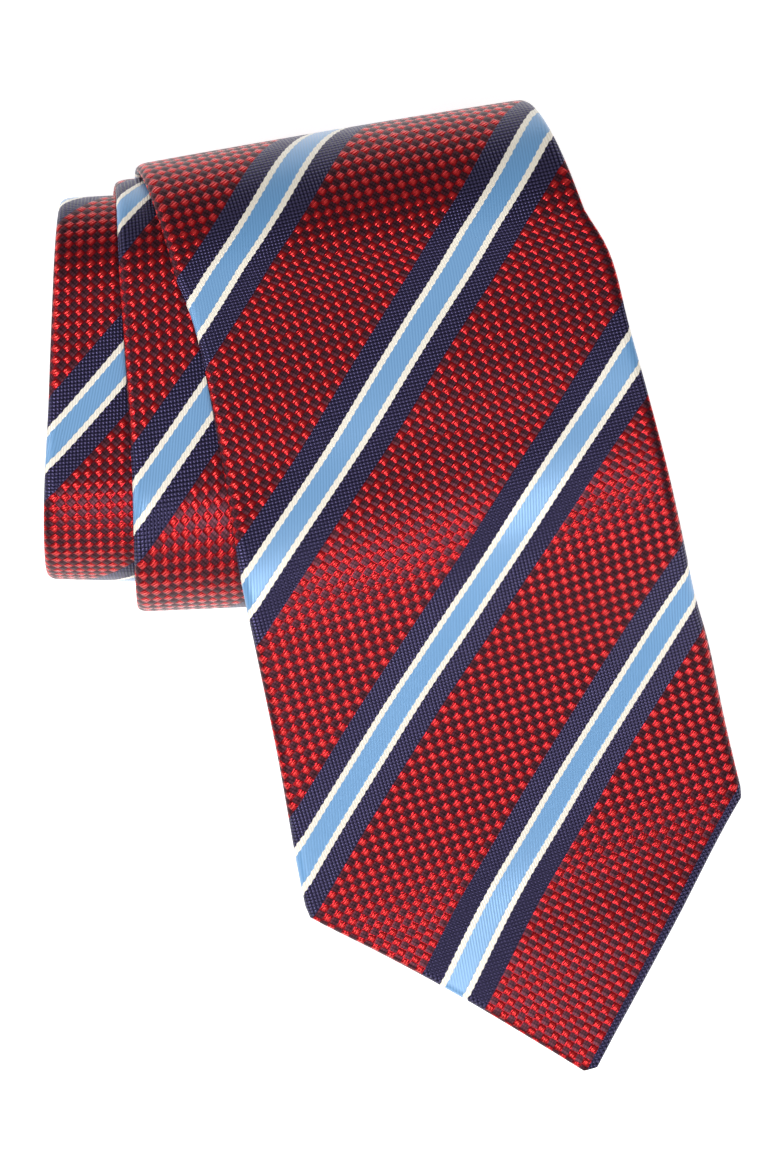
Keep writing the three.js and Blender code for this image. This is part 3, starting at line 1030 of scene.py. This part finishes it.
@dataclass(frozen=True)
class PlainWeave:
    """A plain or satin woven cloth of one colour, for canvas and lining.

    Plain weave shows small rounded crossings, and satin shows long fine lines. Its threads are
    drawn at their real pitch in mm, and slubs vary the tone from thread to thread.
    """

    colour: str
    shade: str
    pitch: float
    roughness: float
    relief: float
    gloss: float
    float_length: float = 1
    sheen: float = 0.1
    slub_stretch: tuple[float, float, float] = (400, 40, 1)
    slub_scale: float = 3.0
    slub_tone: float = 0.3
    slub_dullness: float = 0.1

    def build(self, name: str) -> bpy.types.Material:
        """Makes the material."""
        return new_material(
            name, self._pattern, self.relief,
            Specular_IOR_Level=self.gloss, Sheen_Weight=self.sheen,
        )

    def _pattern(self, put: Callable) -> tuple:
        """Colour, height and roughness of the weave.

        Args:
            put: the node adder.

        Returns:
            The sockets of the three.
        """
        across, along = cloth_axes(put)
        height = put(
            "Math MULTIPLY", ridges(put, across, self.pitch),
            ridges(put, along, self.pitch * self.float_length),
        )
        stretched = put("Mapping", put("UVMap", uv_map="cloth"), None, None, self.slub_stretch)
        slubs = put("TexNoise", stretched, self.slub_scale)
        tone = put("Math MULTIPLY", slubs, self.slub_tone)
        tone = put("Math MULTIPLY_ADD", height, 1 - self.slub_tone, tone)
        colour = put("Mix RGBA", tone, self.shade, self.colour)
        return colour, height, put(
            "Math MULTIPLY_ADD", slubs, self.slub_dullness, self.roughness
        )


@dataclass(frozen=True)
class TwistedThread:
    """Silk sewing thread: two plies twisted together, dyed deep red, with a soft lustre."""

    colour: str = "#9B1826"
    shade: str = "#5A0D16"
    ply_pitch: float = 0.5
    relief: float = 0.05
    fuzz_scale: float = 900.0
    fuzz_tone: float = 0.2
    roughness: float = 0.4

    def build(self, name: str) -> bpy.types.Material:
        """Makes the material."""
        return new_material(name, self._pattern, self.relief, Specular_IOR_Level=0.5)

    def _pattern(self, put: Callable) -> tuple:
        """Colour, height and roughness of the twist."""
        place = put("TexCoord").node.outputs["Object"]
        x, y, _ = put("SeparateXYZ", place).node.outputs
        height = ridges(put, put("Math ADD", x, y), self.ply_pitch * MM)
        fuzz = put("TexNoise", place, self.fuzz_scale)
        colour = put("Mix RGBA", height, self.shade, self.colour)
        return colour, height, put("Math MULTIPLY_ADD", fuzz, self.fuzz_tone, self.roughness)


@dataclass(frozen=True)
class LabelWeave:
    """Woven damask label: fine ivory ribs with a navy line woven inside its edges, no words."""

    width: float
    height: float
    ground: str = "#F0ECE1"
    rib_shade: str = "#CFC8B8"
    line: str = "#2A2650"
    line_inset: float = 1.3
    line_width: float = 0.6
    rib_pitch: float = 0.5
    relief: float = 0.06
    roughness: float = 0.4
    rib_dullness: float = 0.15

    def build(self, name: str) -> bpy.types.Material:
        """Makes the material."""
        return new_material(name, self._pattern, self.relief, Specular_IOR_Level=0.45)

    def _pattern(self, put: Callable) -> tuple:
        """Colour, height and roughness: ribs, and the line at an even distance from the edge.

        Args:
            put: the node adder.

        Returns:
            The sockets of the three.
        """
        across, along = cloth_axes(put)
        along = put("Math SUBTRACT", along, self.height / 2)
        gaps = [
            put("Math SUBTRACT", size / 2, put("Math ABSOLUTE", way))
            for size, way in ((self.width, across), (self.height, along))
        ]
        inset = put("Math MINIMUM", *gaps)
        on_line = put("Math COMPARE", inset, self.line_inset, self.line_width / 2)
        rib = ridges(put, along, self.rib_pitch)
        ground = put("Mix RGBA", rib, self.rib_shade, self.ground)
        colour = put("Mix RGBA", on_line, ground, self.line)
        return colour, rib, put("Math MULTIPLY_ADD", rib, self.rib_dullness, self.roughness)


# ---- The silk sleeve --------------------------------------------------------------------------


@dataclass
class SilkPanel:
    """One length of the striped silk, folded into a sleeve with its seam at the back."""

    room: Workroom
    name: str
    start: float
    end: float
    step: float = 2.4
    front_columns: int = 36
    edge_columns: int = 9
    back_columns: int = 9
    edge_roll: float = 2.1
    roll_share: float = 0.45
    gap_share: float = 0.9
    crown: float = 0.45
    crown_fade: tuple[float, float] = (205, 235)
    crown_run: float = 30
    tip_run: float = 5.0
    tip_share: float = 0.4
    fullness_left: Stations = (
        (0, 0), (20, -0.2), (34, 0.3), (46, 1.5), (110, 1.9), (125, 1.9), (145, 0.8), (180, 0),
    )
    fullness_right: Stations = (
        (0, 0), (20, 0.9), (46, 1.8), (70, 1.6), (85, 1.3), (97, 0.4), (108, 0.3), (145, 0.5),
        (158, 0.5), (172, 1.1), (187, 0.3), (205, 0),
    )

    def section(self, along: float) -> Points:
        """The outer face of the sleeve from the left flap's edge round to the right one's.

        Args:
            along: the distance from the wide point.

        Returns:
            The (across, depth, wrapped) points there.
        """
        cut = self.room.ribbon.cut
        half = cut.width(along) / 2
        from_tip = min(along, cut.length - along)
        closing = self.tip_share + (1 - self.tip_share) * smoothstep(from_tip, 0, self.tip_run)
        deep = cut.thickness(along) * closing
        roll = min(self.edge_roll, self.roll_share * half)
        flat = half - roll
        gap = min(cut.flap_gap(along), self.gap_share * flat)
        arc = math.pi * math.sqrt((roll**2 + (deep / 2) ** 2) / 2)
        puff = self.crown * (1 - smoothstep(along, *self.crown_fade))
        puff *= smoothstep(from_tip, 0, self.crown_run)
        right: Points = []
        for i in range(self.edge_columns + 1):
            turn = math.pi * i / self.edge_columns
            across, depth = flat + roll * math.sin(turn), deep / 2 * (1 - math.cos(turn))
            right.append((across, depth, flat + arc * i / self.edge_columns))
        for i in range(1, self.back_columns + 1):
            across = flat + (gap - flat) * i / self.back_columns
            right.append((across, deep, flat + arc + (flat - across)))
        left = [(-across, depth, -wrapped) for across, depth, wrapped in reversed(right)]
        front = []
        for i in range(1, self.front_columns):
            across = flat * (2 * i / self.front_columns - 1)
            front.append((across, -puff * (1 - (across / flat) ** 2), across))
        sides = ((-1, self.fullness_left), (1, self.fullness_right))
        swell = {side: (half + through(fullness, along)) / half for side, fullness in sides}
        return [
            (across * swell[1 if across > 0 else -1], depth, wrapped)
            for across, depth, wrapped in left + front + right
        ]

    def build(self, *nodes: str, rests_on: Sequence[bpy.types.Object] = ()) -> bpy.types.Object:
        """Makes the panel with its two faces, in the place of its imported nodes."""
        rows = rows_of(steps(self.start, self.end, self.step), self.section)
        room = self.room
        return room.lay_cloth(
            self.name, rows, room.finishes.silk, room.ribbon.cut.silk, *nodes,
            held="folded", flat=room.ribbon.flat, rests_on=rests_on,
        )


@dataclass
class Finishes:
    """Every finish of the tie, made once. Both plies of doubled silk show their right side."""

    silk: Finish = field(init=False)
    doubled_silk: Finish = field(init=False)
    canvas: Finish = field(init=False)
    tipping: Finish = field(init=False)
    thread: Finish = field(init=False)
    label: Finish = field(init=False)
    tag: Finish = field(init=False)

    def __post_init__(self) -> None:
        """Makes the materials."""
        right = StripedSilk().build("striped_silk", Face.RIGHT)
        wrong = StripedSilk().build("striped_silk_wrong_side", Face.WRONG)
        self.silk = Finish("striped_silk", right, wrong)
        self.doubled_silk = Finish("striped_silk", right)
        canvas = PlainWeave("#EAE3D3", "#C2B8A2", pitch=0.9, roughness=0.88, relief=0.18, gloss=0.2)
        self.canvas = Finish("wool_canvas", canvas.build("wool_canvas"))
        satin = PlainWeave(
            "#383263", "#1D1A3C", pitch=0.45, roughness=0.3, relief=0.04, gloss=0.6,
            float_length=8,
        )
        self.tipping = Finish("tipping_satin", satin.build("tipping_satin"))
        self.thread = Finish("sewing_thread", TwistedThread().build("sewing_thread"))
        self.label = Finish("label_weave", LabelWeave(width=48, height=17).build("label_weave"))
        tag = LabelWeave(width=12, height=13, line_inset=0.9, line_width=0.45)
        self.tag = Finish("label_weave", tag.build("tag_weave"))


# ---- The layers inside the sleeve and the pieces sewn on its back ------------------------------


@dataclass
class Workroom:
    """Makes the layers, threads and stitches that both parts of the tie share."""

    ribbon: Ribbon
    finishes: Finishes
    canvas_inset: float = 0.35
    least_half: float = 1.0
    tipping_overlap: float = 9
    thread_radius: float = 0.2
    layer_step: float = 3
    thread_step: float = 1.1
    columns: int = 14
    slip_length: float = 7
    slip_swing: float = 0.35
    strand: float = 0.17
    stitch_sides: int = 6
    tack_length: float = 9
    tack_width: float = 1.6
    thread_gap: float = 1
    core_spread: float = 0.24
    wrap_pitch: float = 2.1
    wrap_run: float = 0.92
    wrap_lift: float = 1.2
    wrap_slant: float = 0.12
    fewest_wraps: int = 3
    join_stitch: float = 1.5
    join_slant: float = 0.5

    def lay_cloth(
        self, name: str, rows: Sequence[Row], finish: Finish, thickness: float, *nodes: str,
        held: str = "laid", flat: FlatPlace = plain_flat,
        rests_on: Sequence[bpy.types.Object] = (),
    ) -> bpy.types.Object:
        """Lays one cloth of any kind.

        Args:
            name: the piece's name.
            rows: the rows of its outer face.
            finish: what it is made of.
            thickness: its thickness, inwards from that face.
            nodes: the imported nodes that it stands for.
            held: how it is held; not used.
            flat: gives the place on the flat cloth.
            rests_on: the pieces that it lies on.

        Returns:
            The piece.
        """
        piece = lay_grid(name, self.ribbon, rows, flat)
        solid = piece.modifiers.new("cloth_thickness", "SOLIDIFY")
        solid.thickness = thickness * MM
        solid.offset = -1
        solid.use_rim = True
        solid.material_offset = 1 if finish.inner else 0
        declare(piece, rows, rests_on)
        return hand_over(piece, finish, *nodes)

    def layer_section(self, half: float, depth: float) -> Points:
        """Evenly spaced points of one flat layer."""
        spots = [half * (2 * i / self.columns - 1) for i in range(self.columns + 1)]
        return [(across, depth, across) for across in spots]

    def layer_half(self, along: float) -> float:
        """Half the width inside the silk's folded edges."""
        cut = self.ribbon.cut
        return cut.width(along) / 2 - cut.silk - self.canvas_inset

    def canvas(self, name: str, start: float, end: float, *nodes: str) -> bpy.types.Object:
        """One length of the canvas that fills the sleeve, from one folded edge to the other.

        Args:
            name: the piece's name.
            start: the distance from the wide point at which it starts.
            end: the distance at which it ends.
            nodes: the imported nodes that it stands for.

        Returns:
            The piece.
        """
        cut = self.ribbon.cut

        def section(along: float) -> Points:
            """The canvas, behind the front."""
            half = max(self.least_half, self.layer_half(along))
            return self.layer_section(half, cut.silk + cut.clearance)

        rows = rows_of(steps(start, end, self.layer_step), section)
        return self.lay_cloth(name, rows, self.finishes.canvas, cut.canvas, *nodes)

    def lining(self, name: str, start: float, end: float, *nodes: str) -> bpy.types.Object:
        """The tipping that lines one end of the tie, tucked under both back flaps.

        Args:
            name: the piece's name.
            start: the distance from the wide point at which it starts.
            end: the distance at which it ends.
            nodes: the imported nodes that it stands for.

        Returns:
            The piece.
        """
        cut = self.ribbon.cut

        def section(along: float) -> Points:
            """The lining, in front of the flaps."""
            tucked = min(self.layer_half(along), cut.flap_gap(along) + self.tipping_overlap)
            depth = cut.thickness(along) - cut.silk - cut.clearance - cut.lining
            return self.layer_section(max(self.least_half, tucked), depth)

        rows = rows_of(steps(start, end, self.layer_step), section)
        return self.lay_cloth(name, rows, self.finishes.tipping, cut.lining, *nodes)

    def slip_thread(self, name: str, start: float, end: float, *nodes: str) -> bpy.types.Object:
        """The slip stitches that close the back seam, swinging from flap to flap.

        Args:
            name: the piece's name.
            start: the distance from the wide point at which it starts.
            end: the distance at which it ends.
            nodes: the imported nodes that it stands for.

        Returns:
            The piece.
        """
        cut = self.ribbon.cut
        piece = lay_thread(
            name, self.ribbon, steps(start, end, self.thread_step),
            lambda along: self.slip_swing * math.sin(2 * math.pi * along / self.slip_length),
            lambda along: cut.thickness(along) - self.thread_radius,
            self.thread_radius,
        )
        return hand_over(piece, self.finishes.thread, *nodes)

    def bar_tack(
        self, name: str, at: float, across: float, length: float, width: float, *nodes: str
    ) -> bpy.types.Object:
        """Makes a bar tack: a few long strands, wrapped closely by short ones.

        Args:
            name: the piece's name.
            at: the distance from the wide point to its near edge.
            across: the distance to the right of the middle line.
            length: its length across the tie.
            width: its width along the tie.
            nodes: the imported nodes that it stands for.

        Returns:
            The piece.
        """
        low = self.ribbon.cut.thickness(at) + self.strand
        high = low + self.wrap_lift * self.strand
        middle = at + width / 2
        stitches = [
            Stitch(middle + width * share, across, low, length, math.pi / 2)
            for share in (-self.core_spread, 0, self.core_spread)
        ]
        count = max(self.fewest_wraps, round(length / (self.wrap_pitch * self.strand)))
        for i in range(count):
            spot = across + length * self.wrap_run * (i / (count - 1) - 0.5)
            stitches.append(Stitch(middle, spot, high, width, self.wrap_slant))
        return self.sew(name, stitches, self.strand, *nodes)

    def joining_stitches(
        self, name: str, at: float, half: float, depths: Sequence[float], *nodes: str
    ) -> bpy.types.Object:
        """Rows of short stitches that lace two cut edges together across the tie.

        Args:
            name: the piece's name.
            at: the distance from the wide point.
            half: half the length of each row.
            depths: how deep each row lies.
            nodes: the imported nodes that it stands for.

        Returns:
            The piece.
        """
        stitches = [
            Stitch(at, across, depth, self.join_stitch, self.join_slant)
            for depth in depths
            for across in steps(-half, half, self.join_stitch)
        ]
        return self.sew(name, stitches, self.strand, *nodes)

    def sew(
        self, name: str, stitches: Iterable[Stitch], radius: float, *nodes: str
    ) -> bpy.types.Object:
        """Makes one piece of short, plump stitches on the ribbon.

        Args:
            name: the piece's name.
            stitches: the stitches.
            radius: half the thickness of their thread.
            nodes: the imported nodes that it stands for.

        Returns:
            The piece.
        """
        bm = bmesh.new()
        for stitch in stitches:
            lie = self.ribbon.lie(stitch.along)
            forward = lie.normal.cross(lie.across)
            run = forward * math.cos(stitch.turn) + lie.across * math.sin(stitch.turn)
            axes = (lie.normal.cross(run) * radius, lie.normal * radius, run * stitch.length / 2)
            place = Matrix(axes).transposed().to_4x4()
            place = Matrix.Diagonal((MM, MM, MM, 1)) @ place
            place.translation = self.ribbon.point(stitch.along, stitch.across, stitch.depth)
            bmesh.ops.create_uvsphere(
                bm, u_segments=self.stitch_sides, v_segments=self.stitch_sides, radius=1,
                matrix=place,
            )
        bmesh.ops.recalc_face_normals(bm, faces=bm.faces)
        return hand_over(new_object(name, bm), self.finishes.thread, *nodes)


@dataclass
class WideEnd:
    """The free wide end: its silk, canvas, lining and what is sewn on its back."""

    room: Workroom
    bend_run: float = 16
    bend_lean: float = 9.5
    bend_climb: float = 21
    canvas_from: float = 2.5
    lining_from: float = 4.5
    lining_short: float = 12
    hem_from: float = 21
    hem_end_gap: float = 2
    hem_stitch_pitch: float = 4.2
    hem_stitch: float = 2.6
    hem_inset: float = 0.3
    hem_slant: float = 0.35
    loop_at: float = 136
    loop_width: float = 11
    loop_half_span: float = 21
    loop_ply: float = 0.22
    loop_hollow: float = 0.3
    loop_edge: float = 0.5
    loop_bulge: float = 0.3
    loop_parts: int = 4
    turn_parts: int = 6
    loop_tack: tuple[float, float] = (1.3, 5)
    loop_tack_inset: float = 0.2
    label_at: float = 150
    label_height: float = 17
    label_half_span: float = 24
    label_tack: tuple[float, float] = (2.2, 0.9)
    label_tack_inset: float = 0.4
    label_levels: tuple[tuple[str, float], ...] = (("lower", 0.12), ("upper", 0.82))
    tag_at: float = 78
    tag_height: float = 13
    tag_half_span: float = 6
    tag_tack_width: float = 1.2
    patch_thickness: float = 0.3
    patch_lift: float = 0.05
    patch_step: float = 1.5

    def build(self, rolled: bpy.types.Object) -> None:
        """Makes the wide end's pieces.

        Args:
            rolled: the rolled length of silk that the wide end lies on.
        """
        room, finishes, cut = self.room, self.room.finishes, self.room.ribbon.cut
        tack, end = cut.blade_tack_at, cut.crest_cut
        for piece in (
            SilkPanel(room, "wide_blade_silk", 0, end).build("wide_blade_sleeve", rests_on=[rolled]),
            room.canvas("wide_blade_interlining", self.canvas_from, end, "wide_blade_canvas"),
            room.slip_thread(
                "blade_slip_stitches", tack + room.tack_width + room.thread_gap, end,
                "blade_seam_thread",
            ),
        ):
            self._bend(piece)
        pieces = [
            room.lining(
                "wide_blade_tipping", self.lining_from, tack - self.lining_short,
                "wide_blade_lining",
            ),
            room.bar_tack(
                "wide_bar_tack", tack, 0, room.tack_length, room.tack_width, "blade_bar_tack"
            ),
            self._loop(),
            self._patch("woven_label", self.label_at, self.label_height, self.label_half_span,
                        finishes.label, "blank_label"),
            self._patch("woven_care_tag", self.tag_at, self.tag_height, self.tag_half_span,
                        finishes.tag, "care_tag"),
            room.bar_tack(
                "tag_stitches", self.tag_at + self.tag_height - self.tag_tack_width / 2, 0,
                2 * self.tag_half_span, self.tag_tack_width, "care_tag_stitch",
            ),
        ]
        for side, label in ((-1, "left"), (1, "right")):
            pieces.append(self._hem_stitches(side, label))
            pieces += self._holding_stitches(side, label)
        for piece in pieces:
            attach(piece, "wide_end")

    def _bend(self, piece: bpy.types.Object) -> None:
        """Bakes a piece's placement into its mesh."""
        ribbon = self.room.ribbon
        start = ribbon.point(ribbon.crest_at, 0, 0)
        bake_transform(piece)

    def _hem_stitches(self, side: int, label: str) -> bpy.types.Object:
        """Slip stitches that hold one back flap's edge to the lining.

        Args:
            side: -1 on the left and 1 on the right.
            label: the name of that side.

        Returns:
            The piece.
        """
        room, cut = self.room, self.room.ribbon.cut
        end = cut.blade_tack_at - self.lining_short / 2 - self.hem_end_gap
        stitches = [
            Stitch(
                along, side * (cut.flap_gap(along) - self.hem_inset),
                cut.thickness(along) - room.thread_radius, self.hem_stitch, side * self.hem_slant,
            )
            for along in steps(self.hem_from, end, self.hem_stitch_pitch)
        ]
        name, packed = f"hem_stitches_{label}", f"blade_hem_thread_{label}"
        return room.sew(name, stitches, room.thread_radius, packed)

    def _holding_stitches(self, side: int, label: str) -> list[bpy.types.Object]:
        """The small bar tacks at one end of the keeper loop and of the label.

        Args:
            side: -1 on the left and 1 on the right.
            label: the name of that side.

        Returns:
            The pieces.
        """
        length, width = self.loop_tack
        made = [self.room.bar_tack(
            f"loop_bar_{label}", self.loop_at + (self.loop_width - width) / 2,
            side * (self.loop_half_span - self.loop_tack_inset), length, width,
            f"loop_tack_{label}",
        )]
        for level, share in self.label_levels:
            made.append(self.room.bar_tack(
                f"label_bar_{level}_{label}", self.label_at + self.label_height * share,
                side * (self.label_half_span - self.label_tack_inset), *self.label_tack,
                f"label_stitch_{level}_{label}",
            ))
        return made

    def _loop(self) -> bpy.types.Object:
        """The keeper loop: a strip of the silk folded double and sewn down at its ends."""
        room, cut = self.room, self.room.ribbon.cut
        low = cut.clearance + self.loop_ply
        high = low + self.loop_hollow
        half, parts = self.loop_width / 2, self.loop_parts
        flat = half - self.loop_edge
        turns = [math.pi * i / self.turn_parts for i in range(self.turn_parts + 1)]
        edge = [
            (flat + self.loop_bulge * math.sin(turn), self.loop_hollow * (1 - math.cos(turn)) / 2)
            for turn in turns
        ]
        # Once round the strip, from the middle of its lower ply.
        ring = [(flat * i / parts, low) for i in range(parts + 1)]
        ring += [(out, low + lift) for out, lift in edge]
        ring += [(flat * i / (2 * parts), high) for i in range(2 * parts - 1, -2 * parts - 1, -1)]
        ring += [(-out, high - lift) for out, lift in edge]
        ring += [(-flat * i / parts, low) for i in range(parts - 1, 0, -1)]
        rows, developed, before = [], 0.0, ring[0]
        for spot in ring:
            developed += math.dist(before, spot)
            before = spot
            along = self.loop_at + half + spot[0]
            section = room.layer_section(self.loop_half_span, cut.thickness(along) + spot[1])
            rows.append(Row(along, developed, section))
        return room.lay_cloth(
            "silk_keeper_loop", rows, room.finishes.doubled_silk, self.loop_ply, "keeper_loop",
            held="folded", flat=room.ribbon.flat,
        )

    def _patch(
        self, name: str, at: float, height: float, half_span: float, finish: Finish, packed: str
    ) -> bpy.types.Object:
        """A woven label sewn flat on the back.

        Args:
            name: the piece's name.
            at: the distance from the wide point to its near edge.
            height: its size along the tie.
            half_span: half its size across the tie.
            finish: what it is made of.
            packed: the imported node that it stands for.

        Returns:
            The piece.
        """
        room, cut = self.room, self.room.ribbon.cut

        def section(along: float) -> Points:
            """The label across the back, on the flaps."""
            return room.layer_section(half_span, cut.thickness(along) + self.patch_lift)

        rows = rows_of(steps(at, at + height, self.patch_step), section, start=at)
        return room.lay_cloth(name, rows, finish, self.patch_thickness, packed)


@dataclass
class RolledLength:
    """Everything wound into the roll: three lengths of silk, canvas, lining and threads."""

    room: Workroom
    wide_join: float = 730
    tail_join: float = 1075
    canvas_join: float = 900
    join_gap: float = 0.15
    seam_inset: float = 1.2
    canvas_seam_inset: float = 1
    canvas_short: float = 2.5
    lining_short: float = 4.5
    tail_lining_inset: float = 12

    def build(self) -> bpy.types.Object:
        """Makes the roll's pieces.

        Returns:
            The wide length of silk.
        """
        room, cut, gap = self.room, self.room.ribbon.cut, self.join_gap
        wide, tail, canvas = self.wide_join, self.tail_join, self.canvas_join
        pieces = [
            SilkPanel(room, name, start, end).build(packed)
            for name, start, end, packed in (
                ("rolled_wide_silk", cut.crest_cut, wide - gap, "wide_panel_rolled"),
                ("neck_silk", wide + gap, tail - gap, "neck_panel"),
                ("tail_silk", tail + gap, cut.length, "tail_panel"),
            )
        ]
        rolled = pieces[0]
        pieces += [
            self._seam("wide", wide),
            self._seam("tail", tail),
            room.canvas("rolled_interlining", cut.crest_cut, canvas - gap, "wide_canvas_rolled"),
            room.canvas(
                "tail_interlining", canvas + gap, cut.length - self.canvas_short, "tail_canvas"
            ),
            self._canvas_stitches(),
            room.lining("tail_tipping", cut.tail_tack_at + self.tail_lining_inset,
                        cut.length - self.lining_short, "tail_lining"),
            room.bar_tack("tail_bar", cut.tail_tack_at - room.tack_width, 0,
                          room.tack_length, room.tack_width, "tail_bar_tack"),
        ]
        gap, tack_edge = room.thread_gap, cut.tail_tack_at - room.tack_width
        pieces += [
            room.slip_thread(name, start, end - gap, packed)
            for name, start, end, packed in (
                ("wide_slip_stitches", cut.crest_cut, wide, "wide_panel_seam_thread"),
                ("neck_slip_stitches", wide + gap, tail, "neck_seam_thread"),
                ("tail_slip_stitches", tail + gap, tack_edge, "tail_seam_thread"),
            )
        ]
        for piece in pieces:
            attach(piece, "roll")
        return rolled

    def _seam(self, label: str, at: float) -> bpy.types.Object:
        """The stitches of one piecing seam, round the front and the back of the sleeve.

        Args:
            label: the name of the panel before it.
            at: the distance from the wide point.

        Returns:
            The piece.
        """
        cut = self.room.ribbon.cut
        half = cut.width(at) / 2 - self.seam_inset
        depths = (cut.silk / 2, cut.thickness(at) - cut.silk / 2)
        name, packed = f"{label}_piecing_stitches", f"{label}_piecing_seam"
        return self.room.joining_stitches(name, at, half, depths, packed)

    def _canvas_stitches(self) -> bpy.types.Object:
        """The stitches that join the two lengths of canvas."""
        cut = self.room.ribbon.cut
        half = cut.width(self.canvas_join) / 2 - cut.silk - self.canvas_seam_inset
        depth = cut.silk + cut.clearance + cut.canvas / 2
        return self.room.joining_stitches(
            "interlining_stitches", self.canvas_join, half, (depth,), "canvas_joint_stitch"
        )


# ---- The setting ------------------------------------------------------------------------------


@dataclass(frozen=True)
class Softbox:
    """A square soft light that points at the tie: its place and size in metres, and its watts."""

    name: str
    place: tuple[float, float, float]
    size: float
    watts: float

    def build(self) -> None:
        """Makes the light."""
        light = bpy.data.lights.new(self.name, "AREA")
        light.shape = "SQUARE"
        light.size = self.size
        light.energy = self.watts
        lamp = bpy.data.objects.new(self.name, light)
        bpy.context.scene.collection.objects.link(lamp)
        lamp.location = self.place
        lamp.rotation_euler = Vector(self.place).to_track_quat("Z", "Y").to_euler()


@dataclass
class Studio:
    """The pale floor, the soft light and the camera straight above."""

    ribbon: Ribbon
    camera_height: float = 1300
    seen_height: float = 238.1
    sensor: float = 36.0
    sky: float = 0.26
    floor_size: float = 3.0
    floor_drop: float = 0.1
    paper: str = "#F6F6F6"
    paper_roughness: float = 0.9
    paper_light: float = 0.66
    softboxes: tuple[Softbox, ...] = (
        Softbox("overhead", (0.1, -0.7, 1.45), 0.7, 20.0),
        Softbox("front", (0.1, -1.35, 0.9), 0.75, 5.0),
        Softbox("side", (-1.1, 0.1, 0.7), 0.8, 7.0),
    )

    def build(self) -> None:
        """Makes the floor, the lights and the camera."""
        scene = bpy.context.scene
        scene.view_settings.view_transform = "Standard"
        world = bpy.data.worlds.new("studio")
        scene.world = world
        world.use_nodes = True
        background = world.node_tree.nodes["Background"]
        background.inputs["Color"].default_value = (1, 1, 1, 1)
        background.inputs["Strength"].default_value = self.sky
        self._floor()
        for softbox in self.softboxes:
            softbox.build()
        camera = bpy.data.objects.new("camera", bpy.data.cameras.new("camera"))
        scene.collection.objects.link(camera)
        shift = self.ribbon.shift
        camera.location = (shift.x, shift.y, self.camera_height * MM)
        camera.data.sensor_width = self.sensor
        camera.data.lens = self.sensor * self.camera_height / self.seen_height
        scene.camera = camera

    def _floor(self) -> None:
        """Lays the seamless background paper: matte, nearly white."""
        bm = bmesh.new()
        below = Matrix.Translation((0, 0, -self.floor_drop * MM))
        bmesh.ops.create_grid(bm, x_segments=1, y_segments=1, size=self.floor_size, matrix=below)
        floor = new_object("floor", bm)
        material = bpy.data.materials.new("background_paper")
        material.use_nodes = True
        shader = material.node_tree.nodes["Principled BSDF"]
        for key, value in (
            ("Base Color", linear(self.paper)),
            ("Roughness", self.paper_roughness),
            ("Emission Color", linear("#FFFFFF")),
            ("Emission Strength", self.paper_light),
        ):
            shader.inputs[key].default_value = value
        floor.data.materials.append(material)
        floor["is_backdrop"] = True


def main() -> None:
    """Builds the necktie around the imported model."""
    logging.basicConfig(level=logging.INFO, format="%(message)s")
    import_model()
    cad_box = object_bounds()
    ribbon = Ribbon()
    ribbon.settle(*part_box("wide_blade_sleeve"))
    Studio(ribbon).build()
    room = Workroom(ribbon, Finishes())
    rolled = RolledLength(room).build()
    WideEnd(room).build(rolled)
    boxes = [[list(corner) for corner in box] for box in (cad_box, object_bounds())]


if __name__ == "__main__":
    main()
